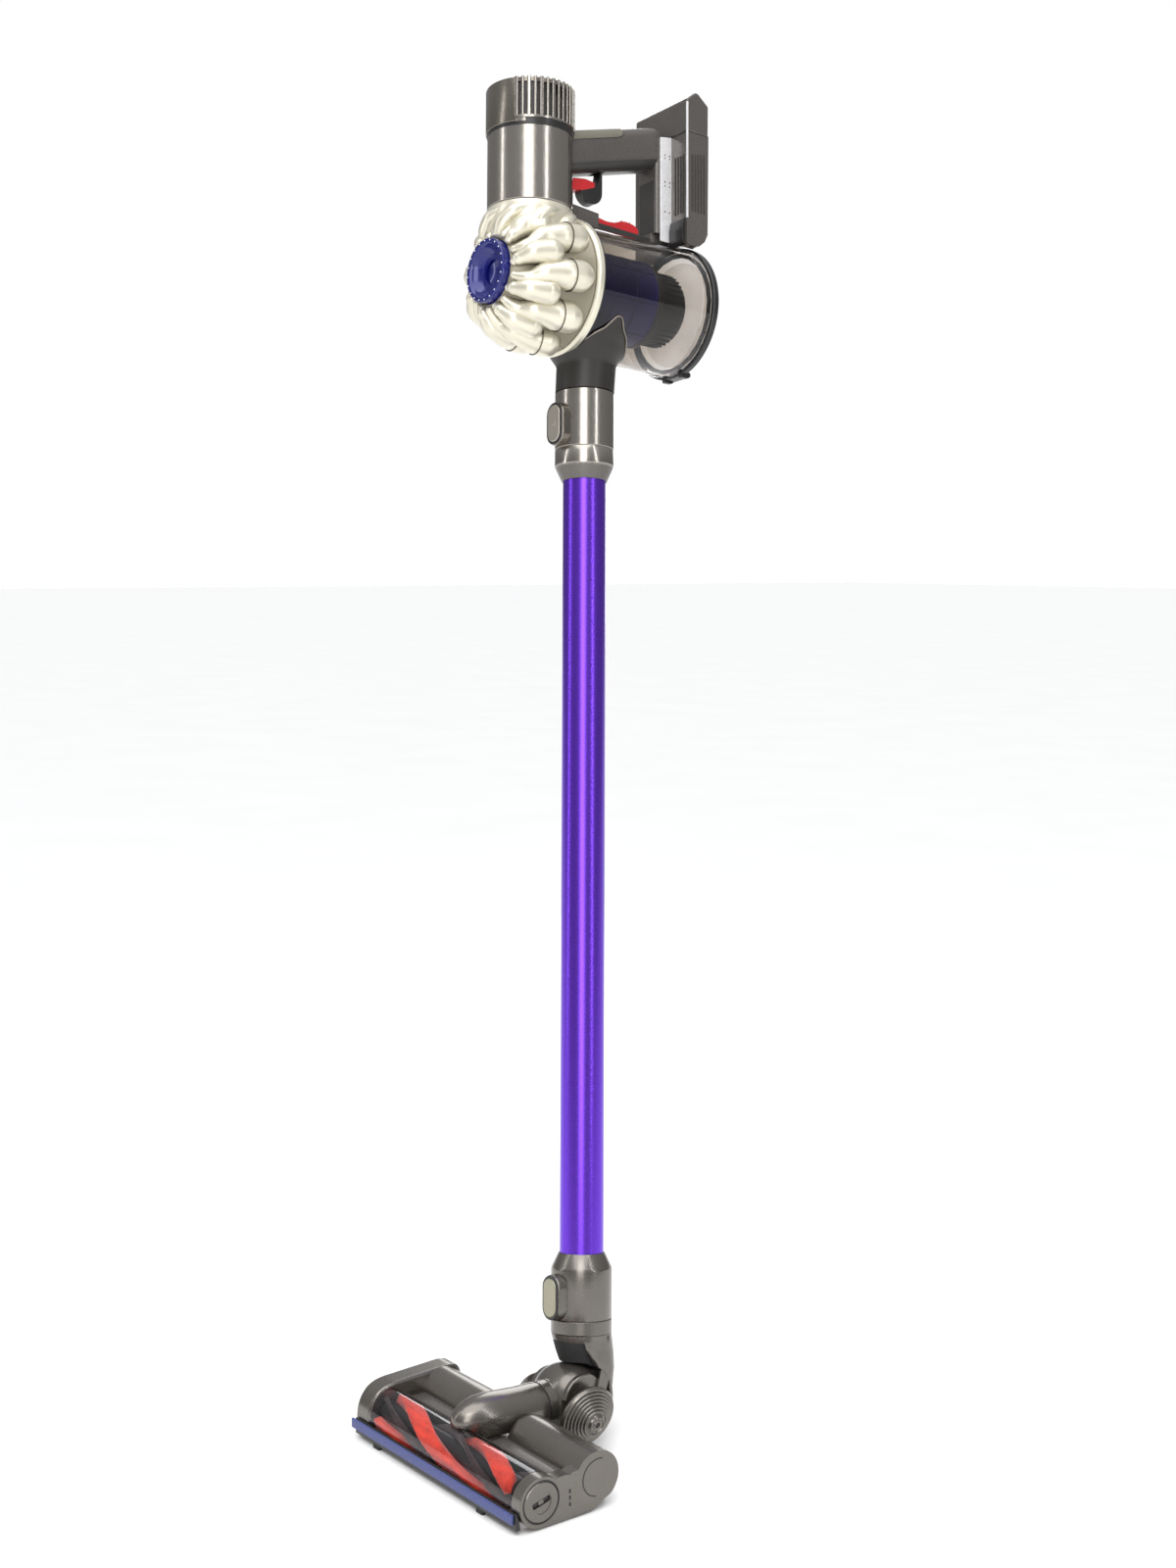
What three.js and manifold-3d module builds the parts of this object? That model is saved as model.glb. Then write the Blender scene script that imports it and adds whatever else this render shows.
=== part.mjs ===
// Cordless stick vacuum: a hand-held cyclone unit on a wand, with a motorised floor head.
// Units are millimetres. +Z is up, -Y is the front of the head and +X is its right-hand side.
// The head stands flat on the floor and the wand leans back and to the left on its neck.
import * as THREE from 'three';
import { mergeVertices } from 'three/addons/utils/BufferGeometryUtils.js';
import Module from 'manifold-3d';

const wasm = await Module();
wasm.setup();

// ---------------------------------------------------------------- driving dimensions
const GAP = 0.3;                  // clearance between touching pieces

// Stance: how the neck is turned in this pose.
const LEAN_SIDE = -8.55;          // roll of the neck about the fore-and-aft axis, degrees
const LEAN_BACK = -6.53;          // pitch of the wand about the neck's cross axis, degrees
const NECK = { y: 90, z: 41 };    // centre of the neck joint above the floor
const WAND_OFFSET = { y: 15.1, z: -9.2 };   // wand datum measured from the neck joint

// Wand, in the wand's own frame (z along the wand).
const TUBE_R = 19.6;
const TUBE_BORE = 18.2;
const CUFF_R = 27.2;
const CUFF_LOW = 76.6;            // seam between the wand and the neck
const TUBE_FROM = 134;
const TUBE_TO = 830;
const CUFF_HIGH = 859;            // seam between the wand and the hand-held unit
const SPIGOT_R = 21.2;
const DUCT_R = 17;
const BUTTON = { width: 20, height: 36, proud: 35.5, lowZ: 96.6, highZ: 879.5 };

// Hand-held unit, in the wand's frame.
const COLLAR_TOP = 912;
const MOTOR = { y: -63.3, r: 39, low: 1070, high: 1140, top: 1181, capR: 40.6, wall: 3 };
const BIN = { z: 1006.5, r: 59.2, wall: 2, front: -24, back: 103 };
const RIM = { front: -32, back: -25, r: 63.2 };
const DOOR = { front: 103.4, back: 110, r: 62.4, hingeY: 112.4, hingeZ: 947 };
const FILTER = { front: -112.6, r: 29, coreR: 12, coreTo: 38 };
const CONES = { count: 9, rearR: 14, frontR: 13 };
const GRIP = { slope: 15.3, y: -23.5, z: 1133.5, width: 28, height: 39, length: 113 };
const POST = { front: 73, back: 90, half: 13.9 };
const BATTERY = { half: 39, front: 90.4, back: 117, low: 1062, split: 1171.3, wall: 2.5 };
const SCREWS = { x: -24, z: [1105, 1150] };
const SOCKET = { x: 24, z: 1092 };
const RAIL = { half: 9, low: 1066.7, floor: 1069.6, frontTop: 1085, backTop: 1075.5 };

// Floor head.
const HEAD = { half: 125, left: -103, right: 113 };
const BRUSH = { y: -31, z: 23.5, windowR: 21, tipR: 18.8, coreR: 10.5, pulleyR: 13 };
const BAR = { y: 26, z: 29, r: 22, wall: 2.5, inner: 22.2 };
const DRIVE = { pulleyR: 6.5, beltT: 1.2 };
const SOLE_Z = 3;
const DECK_Z = 33;
const WHEEL = { r: 28, x: 29.8, y: -4, z: -10.1, camber: 20, depth: 18.5, axleR: 3.5 };
const DOME_R = 30;

// ---------------------------------------------------------------- materials
const finish = (color, roughness, metalness) =>
  new THREE.MeshStandardMaterial({ color, roughness, metalness });
const GREY = finish(0x6b655f, 0.35, 0.55);
const NICKEL = finish(0x9b968f, 0.25, 0.85);
const PEARL = finish(0xd9d2c2, 0.3, 0.6);
const PURPLE = finish(0x5a28c8, 0.28, 0.8);
const BLUE = finish(0x2222a0, 0.25, 0.1);
const RED = finish(0xb5202a, 0.35, 0.05);
const BLACK = finish(0x1d1c1c, 0.5, 0.0);
const STEEL = finish(0xb8b8ba, 0.3, 0.9);
const SILVER = finish(0xc9cacc, 0.35, 0.7);
const CLEAR = new THREE.MeshStandardMaterial({
  color: 0xb9b4ae, roughness: 0.08, metalness: 0, transparent: true, opacity: 0.35,
});
const FELT = finish(0x3f4aa8, 0.95, 0.0);
const BRISTLE = finish(0xe0402c, 0.9, 0.0);
const CARBON = finish(0x2a2320, 0.8, 0.1);
const FOAM = finish(0xc9c6c0, 0.95, 0.0);
const CELL = finish(0x2f7f5a, 0.4, 0.2);

// ---------------------------------------------------------------- solids
const radians = THREE.MathUtils.degToRad;

// The closed, outward-facing solid of a geometry.
function solidOf(geometry) {
  const bare = geometry.clone();
  bare.deleteAttribute('normal');
  bare.deleteAttribute('uv');
  const merged = mergeVertices(bare, 1e-4);
  const corners = merged.attributes.position.array;
  const index = merged.index.array;
  const triangles = [];
  let volume = 0;
  const a = new THREE.Vector3();
  const b = new THREE.Vector3();
  const c = new THREE.Vector3();
  for (let i = 0; i < index.length; i += 3) {
    const [p, q, r] = [index[i], index[i + 1], index[i + 2]];
    if (p === q || q === r || r === p) continue;
    triangles.push(p, q, r);
    a.fromArray(corners, 3 * p);
    b.fromArray(corners, 3 * q);
    c.fromArray(corners, 3 * r);
    volume += a.dot(b.cross(c));
  }
  if (volume < 0) triangles.reverse();
  return new wasm.Manifold(new wasm.Mesh({
    numProp: 3,
    vertProperties: new Float32Array(corners),
    triVerts: new Uint32Array(triangles),
  }));
}

function geometryOf(solid) {
  const mesh = solid.getMesh();
  const geometry = new THREE.BufferGeometry();
  geometry.setAttribute('position', new THREE.BufferAttribute(mesh.vertProperties, 3));
  geometry.setIndex(new THREE.BufferAttribute(mesh.triVerts, 1));
  geometry.computeVertexNormals();
  return geometry;
}

function cut(base, ...tools) {
  return geometryOf(tools.reduce((left, tool) => left.subtract(solidOf(tool)), solidOf(base)));
}

function join(base, ...others) {
  return geometryOf(others.reduce((sum, other) => sum.add(solidOf(other)), solidOf(base)));
}

function common(base, other) {
  return geometryOf(solidOf(base).intersect(solidOf(other)));
}

// A solid of revolution about an axis: profile is a list of [radius, distance along the axis].
function turned(profile, axis = 'z', segments = 24) {
  const points = profile.map(([r, h]) => new THREE.Vector2(r, h));
  const onAxis = profile[0][0] === 0 && profile[profile.length - 1][0] === 0;
  if (!onAxis) points.push(points[0].clone());
  const geometry = new THREE.LatheGeometry(points, segments);
  if (axis === 'z') geometry.rotateX(Math.PI / 2);
  if (axis === 'x') geometry.rotateZ(-Math.PI / 2);
  return geometry;
}

function rod(r, from, to, axis = 'z', segments = 20) {
  return turned([[0, from], [r, from], [r, to], [0, to]], axis, segments);
}

function ring(outer, inner, from, to, axis = 'z', segments = 24) {
  return turned([[outer, from], [outer, to], [inner, to], [inner, from]], axis, segments);
}

// A shape swept straight along an axis. The shape lies in (y, z) for axis x, in (x, z) for
// axis y and in (x, y) for axis z.
function prism(shape, from, to, axis, bevel = 0) {
  const geometry = new THREE.ExtrudeGeometry(shape, {
    depth: to - from - 2 * bevel,
    curveSegments: 4,
    bevelEnabled: bevel > 0,
    bevelThickness: bevel,
    bevelSize: bevel,
    bevelOffset: -bevel,
    bevelSegments: 1,
  });
  const [x, y, z] = [
    new THREE.Vector3(1, 0, 0), new THREE.Vector3(0, 1, 0), new THREE.Vector3(0, 0, 1),
  ];
  if (axis === 'y') {
    geometry.translate(0, 0, -to + bevel);
    return geometry.applyMatrix4(new THREE.Matrix4().makeBasis(x, z, y.clone().negate()));
  }
  geometry.translate(0, 0, from + bevel);
  if (axis === 'x') geometry.applyMatrix4(new THREE.Matrix4().makeBasis(y, z, x));
  return geometry;
}

function polygon(points) {
  return new THREE.Shape(points.map(([u, v]) => new THREE.Vector2(u, v)));
}

function roundedRect(u0, v0, u1, v1, r) {
  const shape = new THREE.Shape();
  shape.absarc(u1 - r, v1 - r, r, 0, Math.PI / 2);
  shape.absarc(u0 + r, v1 - r, r, Math.PI / 2, Math.PI);
  shape.absarc(u0 + r, v0 + r, r, Math.PI, 1.5 * Math.PI);
  shape.absarc(u1 - r, v0 + r, r, 1.5 * Math.PI, 2 * Math.PI);
  return shape;
}

// The outline of a belt round two pulleys: circle 1 is behind (larger u) circle 2.
function beltLoop(u1, v1, r1, u2, v2, r2) {
  const along = Math.atan2(v1 - v2, u1 - u2);
  const spread = Math.acos((r2 - r1) / Math.hypot(u1 - u2, v1 - v2));
  const shape = new THREE.Shape();
  shape.absarc(u1, v1, r1, along - spread, along + spread);
  shape.absarc(u2, v2, r2, along + spread, along - spread + 2 * Math.PI);
  return shape;
}

function block(x0, x1, y0, y1, z0, z1) {
  const geometry = new THREE.BoxGeometry(x1 - x0, y1 - y0, z1 - z0);
  return geometry.translate((x0 + x1) / 2, (y0 + y1) / 2, (z0 + z1) / 2);
}

// A cone or rod from one point to another, with its own radius at each end and round ends.
function finger(from, to, r0, r1, segments = 8) {
  const span = to.clone().sub(from);
  const length = span.length();
  const profile = [[0, -r0], [r0 * 0.72, -r0 * 0.7], [r0, 0], [r1, length],
    [r1 * 0.7, length + r1 * 0.7], [0, length + r1]];
  const geometry = turned(profile, 'z', segments);
  const turn = new THREE.Quaternion().setFromUnitVectors(new THREE.Vector3(0, 0, 1), span.normalize());
  return geometry.applyQuaternion(turn).translate(from.x, from.y, from.z);
}

function add(group, name, geometry, material) {
  const mesh = new THREE.Mesh(geometryOf(solidOf(geometry)), material);
  mesh.name = name;
  group.add(mesh);
}

// ---------------------------------------------------------------- wand
function releaseBoss(z) {
  const half = BUTTON.width / 2 + 2;
  const tall = BUTTON.height / 2 + 2;
  return prism(roundedRect(-half, z - tall, half, z + tall, half - 0.5), -BUTTON.proud + 1, -20, 'y');
}

function releasePocket(z) {
  const half = BUTTON.width / 2 + GAP;
  const tall = BUTTON.height / 2 + GAP;
  return prism(roundedRect(-half, z - tall, half, z + tall, half - 0.5), -40, -25, 'y');
}

function releaseButton(z) {
  const half = BUTTON.width / 2;
  const tall = BUTTON.height / 2;
  const outline = roundedRect(-half, z - tall, half, z + tall, half - 0.5);
  return prism(outline, -BUTTON.proud, -BUTTON.proud + 3.6, 'y', 0.9);
}

function buildWand(group) {
  add(group, 'wand_tube', ring(TUBE_R, TUBE_BORE, TUBE_FROM - 22, TUBE_TO + 16), PURPLE);
  const conduit = ring(3.4, 2.2, TUBE_FROM - 20, TUBE_TO + 14, 'z', 12);
  add(group, 'wand_conduit', conduit.translate(0, 14.2, 0), BLACK);
  const lowCuff = turned([[TUBE_R + GAP, TUBE_FROM], [TUBE_R + 0.9, TUBE_FROM], [CUFF_R, TUBE_FROM - 13],
    [CUFF_R, CUFF_LOW], [SPIGOT_R + GAP, CUFF_LOW], [SPIGOT_R + GAP, TUBE_FROM - 26],
    [TUBE_R + GAP, TUBE_FROM - 26]]);
  const lowBody = join(lowCuff, common(releaseBoss(BUTTON.lowZ), cut(
    rod(40, CUFF_LOW, TUBE_FROM - 6), rod(SPIGOT_R + GAP + 1.5, CUFF_LOW - 1, TUBE_FROM))));
  add(group, 'wand_lower_cuff', cut(lowBody, releasePocket(BUTTON.lowZ)), GREY);
  add(group, 'wand_upper_cuff', turned([[TUBE_R + GAP, TUBE_TO], [TUBE_R + 0.9, TUBE_TO],
    [CUFF_R, TUBE_TO + 13], [CUFF_R, CUFF_HIGH - GAP], [SPIGOT_R, CUFF_HIGH - GAP],
    [SPIGOT_R, CUFF_HIGH + 27], [DUCT_R, CUFF_HIGH + 27], [DUCT_R, TUBE_TO + 17],
    [TUBE_R + GAP, TUBE_TO + 17]]), NICKEL);
  add(group, 'lower_release_button', releaseButton(BUTTON.lowZ), NICKEL);
}

// ---------------------------------------------------------------- inlet of the hand-held unit
function buildInlet(group) {
  const sleeve = turned([[CUFF_R, CUFF_HIGH], [CUFF_R, COLLAR_TOP], [DUCT_R, COLLAR_TOP],
    [DUCT_R, CUFF_HIGH + 28], [SPIGOT_R + GAP, CUFF_HIGH + 28], [SPIGOT_R + GAP, CUFF_HIGH]]);
  const boss = common(releaseBoss(BUTTON.highZ), cut(
    rod(40, CUFF_HIGH, COLLAR_TOP), rod(SPIGOT_R + GAP + 1.5, CUFF_HIGH - 1, COLLAR_TOP + 1)));
  add(group, 'inlet_collar', cut(join(sleeve, boss), releasePocket(BUTTON.highZ)), NICKEL);
  add(group, 'upper_release_button', releaseButton(BUTTON.highZ), NICKEL);

  const horn = turned([[0, COLLAR_TOP + GAP], [27.1, COLLAR_TOP + GAP], [27.4, 937], [36, 951.6],
    [43.6, 964], [50.4, 975], [0, 975]], 'z', 24).translate(0, 1.5, 0);
  const clearBin = rod(BIN.r + 2 * GAP, -60, 130, 'y', 36).translate(0, 0, BIN.z);
  const clearRim = rod(RIM.r + GAP, -140, RIM.back + GAP, 'y', 36).translate(0, 0, BIN.z);
  const bore = rod(DUCT_R - 1, 900, 1000);
  add(group, 'inlet_duct', cut(horn, clearBin, clearRim, bore), BLACK);
}

// ---------------------------------------------------------------- motor
function buildMotor(group) {
  const shell = turned([[14, MOTOR.low], [MOTOR.r, MOTOR.low], [MOTOR.r, MOTOR.high - GAP],
    [MOTOR.r - MOTOR.wall, MOTOR.high - GAP], [MOTOR.r - MOTOR.wall, MOTOR.low + 3],
    [14, MOTOR.low + 3]], 'z', 32);
  add(group, 'motor_housing', shell.translate(0, MOTOR.y, 0), NICKEL);
  const cap = turned([[MOTOR.capR, MOTOR.high], [MOTOR.capR, MOTOR.top - 2], [MOTOR.capR - 2, MOTOR.top],
    [10, MOTOR.top], [10, MOTOR.top - 3], [MOTOR.capR - 4, MOTOR.top - 3], [MOTOR.capR - 4, MOTOR.high]],
  'z', 32);
  add(group, 'motor_end_cap', cap.translate(0, MOTOR.y, 0), GREY);
  const button = turned([[0, MOTOR.top - 5], [9.6, MOTOR.top - 5], [9.6, MOTOR.top], [8.6, MOTOR.top + 0.8],
    [0, MOTOR.top + 0.8]], 'z', 16);
  add(group, 'max_button', button.translate(0, MOTOR.y, 0), BLUE);
  const stator = ring(MOTOR.r - MOTOR.wall - GAP, 14.6, MOTOR.low + 22, MOTOR.low + 48, 'z', 20);
  add(group, 'motor_stator', stator.translate(0, MOTOR.y, 0), STEEL);
  const rotor = turned([[0, MOTOR.low + 8], [31, MOTOR.low + 8], [31, MOTOR.low + 10],
    [12, MOTOR.low + 17], [6, MOTOR.low + 20], [6, MOTOR.low + 23], [14, MOTOR.low + 23],
    [14, MOTOR.low + 47], [3, MOTOR.low + 47], [3, MOTOR.low + 60], [0, MOTOR.low + 60]], 'z', 16);
  add(group, 'motor_rotor', rotor.translate(0, MOTOR.y, 0), STEEL);
}

// ---------------------------------------------------------------- cyclones, filter and bin
function polar(r, y, angle) {
  return new THREE.Vector3(r * Math.sin(angle), y, r * Math.cos(angle));
}

function cyclonePack() {
  const core = turned([[0, -106], [27, -106], [32, -101], [44, -84], [50, -66], [55, -46],
    [60, RIM.front - GAP], [0, RIM.front - GAP]], 'y', 20);
  const pieces = [core];
  for (let i = 0; i < CONES.count; i += 1) {
    const rear = (2 * Math.PI * (i + 0.5)) / CONES.count;
    const front = (2 * Math.PI * i) / CONES.count;
    pieces.push(finger(polar(54.5, -50, rear), polar(40, -90, rear), CONES.rearR, 7));
    pieces.push(finger(polar(49, -80, front), polar(32, -104, front), CONES.frontR, 5));
  }
  const crown = rod(MOTOR.r - 0.5, 0, MOTOR.low - GAP - BIN.z, 'z', 24).translate(0, MOTOR.y, 0);
  const body = join(...pieces, crown);
  const keep = block(-80, 80, -125, RIM.front - GAP, -80, MOTOR.low - GAP - BIN.z);
  return cut(common(body, keep), rod(FILTER.coreR + 1, -130, 0, 'y', 12),
    rod(FILTER.r + 3 * GAP, -130, FILTER.front + 9.5, 'y', 20), rod(13, 5, 80).translate(0, MOTOR.y, 0));
}

function buildCyclones(group) {
  const place = (geometry) => geometry.translate(0, 0, BIN.z);
  add(group, 'cyclone_pack', place(cyclonePack()), PEARL);
  add(group, 'cyclone_rim', place(turned([[FILTER.coreR + 1, RIM.front], [RIM.r - 2, RIM.front],
    [RIM.r, RIM.front + 2], [RIM.r, RIM.back], [FILTER.coreR + 1, RIM.back]], 'y', 32)), PEARL);
  add(group, 'filter_cap', place(turned([[0, -97], [10, -99.5], [21, -107], [25, FILTER.front],
    [27.5, FILTER.front], [FILTER.r, FILTER.front + 1.5], [FILTER.r, -103.4], [11.5, -103.4],
    [11.5, -94], [0, -94]], 'y', 24)), BLUE);
  add(group, 'filter_core', place(rod(FILTER.coreR, -93.6, FILTER.coreTo, 'y', 16)), FOAM);
}

function buildBin(group) {
  const cup = turned([[BIN.r, BIN.front], [BIN.r + 0.4, BIN.back], [BIN.r + 0.4 - BIN.wall, BIN.back],
    [BIN.r - BIN.wall, BIN.front]], 'y', 32).translate(0, 0, BIN.z);
  add(group, 'bin', cut(cup, rod(DUCT_R - 1, 930, 960)), CLEAR);
  const shroud = ring(40, 38.4, RIM.back + GAP, 56, 'y', 24);
  add(group, 'shroud', shroud.translate(0, 0, BIN.z), BLUE);
  const cone = turned([[0, 56.3], [40, 56.3], [40, 61], [34, 66], [33, 92], [29, 97], [0, 97]], 'y', 20);
  add(group, 'dust_cone', cone.translate(0, 0, BIN.z), BLACK);
  const rim = ring(DOOR.r, 58.4, DOOR.front, DOOR.back, 'y', 32).translate(0, 0, BIN.z);
  const lug = block(-15, 15, DOOR.front, DOOR.hingeY + 3, DOOR.hingeZ - 6, DOOR.hingeZ + 2.5);
  const lugSlot = block(-9.2, 9.2, DOOR.front + 3.9, DOOR.hingeY + 5, DOOR.hingeZ - 8, DOOR.hingeZ + 9);
  const pinHole = rod(1.8, -20, 20, 'x', 14).translate(0, DOOR.hingeY, DOOR.hingeZ);
  const inside = rod(58.4, DOOR.front - 1, DOOR.back + 9, 'y', 32).translate(0, 0, BIN.z);
  add(group, 'bin_rim', cut(join(rim, lug), lugSlot, pinHole, inside), BLACK);
  const pin = rod(1.5, -14.6, 14.6, 'x', 12).translate(0, DOOR.hingeY, DOOR.hingeZ);
  add(group, 'door_hinge_pin', pin, STEEL);
  const disc = rod(57.9, DOOR.front + 1.6, DOOR.back - 1.4, 'y', 32).translate(0, 0, BIN.z);
  const ear = block(-8.8, 8.8, DOOR.front + 5, DOOR.hingeY + 2.6, DOOR.hingeZ - 2.6, DOOR.hingeZ + 5.5);
  add(group, 'bin_door', cut(join(disc, ear), pinHole), CLEAR);
  const seal = ring(56.8, 53.4, DOOR.front - 1.2, DOOR.front + 1.3, 'y', 24);
  add(group, 'bin_door_seal', seal.translate(0, 0, BIN.z), BLACK);
}

// ---------------------------------------------------------------- handle, trigger and slider
function gripPlace(geometry) {
  return geometry.rotateX(radians(GRIP.slope)).translate(0, GRIP.y, GRIP.z);
}

function clearMotor() {
  return rod(MOTOR.r + GAP, MOTOR.low - 10, MOTOR.high - 0.1, 'z', 32).translate(0, MOTOR.y, 0);
}

function clearCap() {
  return rod(MOTOR.capR + GAP, MOTOR.high - GAP, MOTOR.top + 9, 'z', 32).translate(0, MOTOR.y, 0);
}

function handleFrame() {
  const half = GRIP.width / 2;
  const tall = GRIP.height / 2;
  const bar = gripPlace(prism(roundedRect(-half, -tall, half, tall, 10), -14, GRIP.length, 'y', 3));
  const post = prism(roundedRect(-POST.half, POST.front, POST.half, POST.back + 6, 5), 1078, 1158, 'z');
  const behind = block(-40, 40, POST.back, POST.back + 60, 1000, 1300);
  const slot = prism(polygon([[-26, 1106], [-26, 1118], [20, 1128], [26, 1121]]), -6.5, 6.5, 'x');
  return cut(join(bar, post), behind, clearMotor(), clearCap(), slot);
}

function buildHandle(group) {
  add(group, 'handle_frame', handleFrame(), GREY);
  const inlay = prism(roundedRect(-9.5, 2, 9.5, 62, 6), GRIP.height / 2 + GAP, GRIP.height / 2 + 1.5, 'z');
  add(group, 'grip_inlay', cut(gripPlace(inlay), clearMotor(), clearCap()), GREY);
  const plate = prism(polygon([[76.5, 1079], [76.5, 1165], [89.6, 1168], [89.6, 1079]]),
    POST.half + 0.4, POST.half + 1.5, 'x');
  add(group, 'side_plate', plate, SILVER);

  const padHole = rod(12.8, -9, 9, 'x', 16).translate(0, 7, 1106.5);
  const lever = prism(polygon([[-22.6, 1098.5], [-22.6, 1110.5], [4, 1115.5], [12, 1115.5], [12, 1111],
    [2, 1106]]), -6, 6, 'x', 0.8);
  add(group, 'trigger_lever', cut(lever, padHole), RED);
  const pad = rod(12.5, -5.2, 5.2, 'x', 16).translate(0, 7, 1106.5);
  add(group, 'trigger_pad', common(pad, block(-9, 9, -20, 30, 1080, 1114.5)), BLACK);

  const top = (y) => RAIL.frontTop + ((RAIL.backTop - RAIL.frontTop) * (y + 23)) / 112;
  const rail = prism(polygon([[-23, RAIL.low], [89.8, RAIL.low], [89.8, top(89.8)], [70.5, top(70.5)],
    [70.5, RAIL.floor], [9, RAIL.floor], [9, top(9)], [-23, RAIL.frontTop]]), -RAIL.half, RAIL.half, 'x');
  add(group, 'latch_rail', cut(rail, clearMotor()), GREY);
  const slider = prism(polygon([[9.6, RAIL.floor + GAP], [70, RAIL.floor + GAP],
    [70, RAIL.floor + 3.4], [56, RAIL.floor + 3.4], [55, 1080], [46, 1083.5], [34, 1083.5], [24, 1079],
    [9.6, 1080.5]]), -7.4, 7.4, 'x', 0.8);
  const lift = common(slider, block(-9, 9, 9.6, 57.5, 1060, 1090));
  add(group, 'bin_release_slider', lift, RED);
}

// ---------------------------------------------------------------- battery
const BATTERY_OUTLINE = [[BATTERY.front, 1064], [BATTERY.front, 1203], [100.5, 1211], [104, 1211],
  [BATTERY.back, 1201], [BATTERY.back - 1.5, 1076], [110, 1066], [103, BATTERY.low], [94, BATTERY.low]];

function batteryShell(inset) {
  const centre = [104, 1136];
  const shrink = ([y, z]) => [
    y + Math.sign(centre[0] - y) * Math.min(inset, Math.abs(centre[0] - y)),
    z + Math.sign(centre[1] - z) * inset,
  ];
  const outline = BATTERY_OUTLINE.map(shrink);
  return prism(polygon(outline), -BATTERY.half + inset, BATTERY.half - inset, 'x', inset ? 0 : 2);
}

function buildBattery(group) {
  const overBin = rod(DOOR.r + 1, 60, 140, 'y', 36).translate(0, 0, BIN.z);
  const hollow = cut(batteryShell(BATTERY.wall), block(-50, 50, 80, 130, 1050, 1071.5));
  const socketHole = rod(6.3, 100, 130, 'y', 12).translate(SOCKET.x, 0, SOCKET.z);
  const holes = SCREWS.z.map((z) => rod(1.8, 80, 96, 'y', 12).translate(SCREWS.x, 0, z));
  const whole = batteryShell(0);
  const lower = common(whole, block(-60, 60, 60, 140, 1040, BATTERY.split));
  const upper = common(whole, block(-60, 60, 60, 140, BATTERY.split + GAP, 1300));
  add(group, 'battery_case', cut(lower, hollow, overBin, socketHole, ...holes), GREY);
  add(group, 'battery_top', cut(upper, hollow), GREY);
  const plates = [-24, 24].map((x) => block(x - 1, x + 1, 95.5, 111.5, 1082, 1192));
  const cells = [];
  for (let i = 0; i < 6; i += 1) {
    cells.push(rod(9.1, -32.5, 32.5, 'x', 8).translate(0, 103.5, 1091 + 18.6 * i));
  }
  add(group, 'cell_pack', join(...plates, ...cells), CELL);
  SCREWS.z.forEach((z, i) => {
    const profile = [[0, 87.4], [3.4, 87.4], [3.4, 90.1], [1.5, 90.1], [1.5, 93.8], [0, 93.8]];
    add(group, `battery_screw_${i + 1}`, turned(profile, 'y', 14).translate(SCREWS.x, 0, z), STEEL);
  });
  const socket = ring(6, 3, 113.5, BATTERY.back + 0.6, 'y', 16);
  add(group, 'charge_socket', socket.translate(SOCKET.x, 0, SOCKET.z), BLACK);
}

// ---------------------------------------------------------------- neck
const SPIGOT_TOP = CUFF_LOW + 26;

function buildNeck(group) {
  const collar = turned([[CUFF_R, 64.2], [CUFF_R, CUFF_LOW - GAP], [SPIGOT_R, CUFF_LOW - GAP],
    [SPIGOT_R, SPIGOT_TOP], [DUCT_R, SPIGOT_TOP], [DUCT_R, 64.2]]);
  add(group, 'neck_collar', collar.translate(0, WAND_OFFSET.y, WAND_OFFSET.z), GREY);

  const top = 63.9 + WAND_OFFSET.z;
  const cone = turned([[0, 14], [21, 14], [24.6, 34], [26.6, top], [0, top]]).translate(0, WAND_OFFSET.y, 0);
  const fan = (low) => prism(polygon([[0, 0], [60, low], [60, 60], [8, 60]]), -30, 30, 'x');
  const spine = common(fan(-28), turned([[0, -19.6], [36, -19.6], [39, -17], [39.8, -9], [39.8, 9],
    [39, 17], [36, 19.6], [0, 19.6]], 'x', 32));
  const shoulder = common(fan(32), turned([[0, -25.9], [33.5, -25.9], [37, -22], [39.2, -14], [39.2, 14],
    [37, 22], [33.5, 25.9], [0, 25.9]], 'x', 32));
  const arm = [[0, -2.5], [-2, 3], [14, 10], [20, 33], [28, 30], [29, 24], [24, 9], [19, 1]];
  const cheek = (side) => prism(polygon(arm), side * 24.6 - 1.3, side * 24.6 + 1.3, 'x');
  const boss = (side) => rod(4.8, side * 24.6 - 1.3, side * 24.6 + 1.3, 'x', 16);
  const dome = turned([[0, -28], [28.4, -28], [28.4, -23.1], [30.2, -13], [31.1, 0], [30.2, 13],
    [28.4, 23.1], [28.4, 28], [0, 28]], 'x', 32);
  const front = block(-40, 40, -40, 0.6, 6, top - 4);
  const hosePath = rod(15, 20, 80).translate(0, 2.5, 0);
  const pinHoles = rod(3.3, -40, 40, 'x', 12);
  const body = cut(join(spine, shoulder, cut(cone, front)), dome);
  const fork = join(body, cheek(1), cheek(-1), boss(1), boss(-1));
  add(group, 'neck_frame', cut(fork, hosePath, pinHoles), GREY);
  const hose = ring(14.2, 11.5, 33.2, top - GAP, 'z', 16).translate(0, 2.8, 0);
  add(group, 'neck_hose', cut(hose, rod(31, -31, 31, 'x', 32)), BLACK);
}

function wheelPlace(geometry, side) {
  geometry.rotateY(side * radians(90 + WHEEL.camber));
  return geometry.translate(side * WHEEL.x, WHEEL.y, WHEEL.z);
}

function wheel(side) {
  const tyre = turned([[0, 0], [WHEEL.r - 1, 0], [WHEEL.r, 1], [WHEEL.r, 4], [24.5, 8], [19, 11.5],
    [13, 14.8], [8, 16.8], [7, WHEEL.depth], [0, WHEEL.depth]], 'z', 24);
  return wheelPlace(cut(tyre, rod(WHEEL.axleR + GAP, -1, 13, 'z', 12)), side);
}

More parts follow.
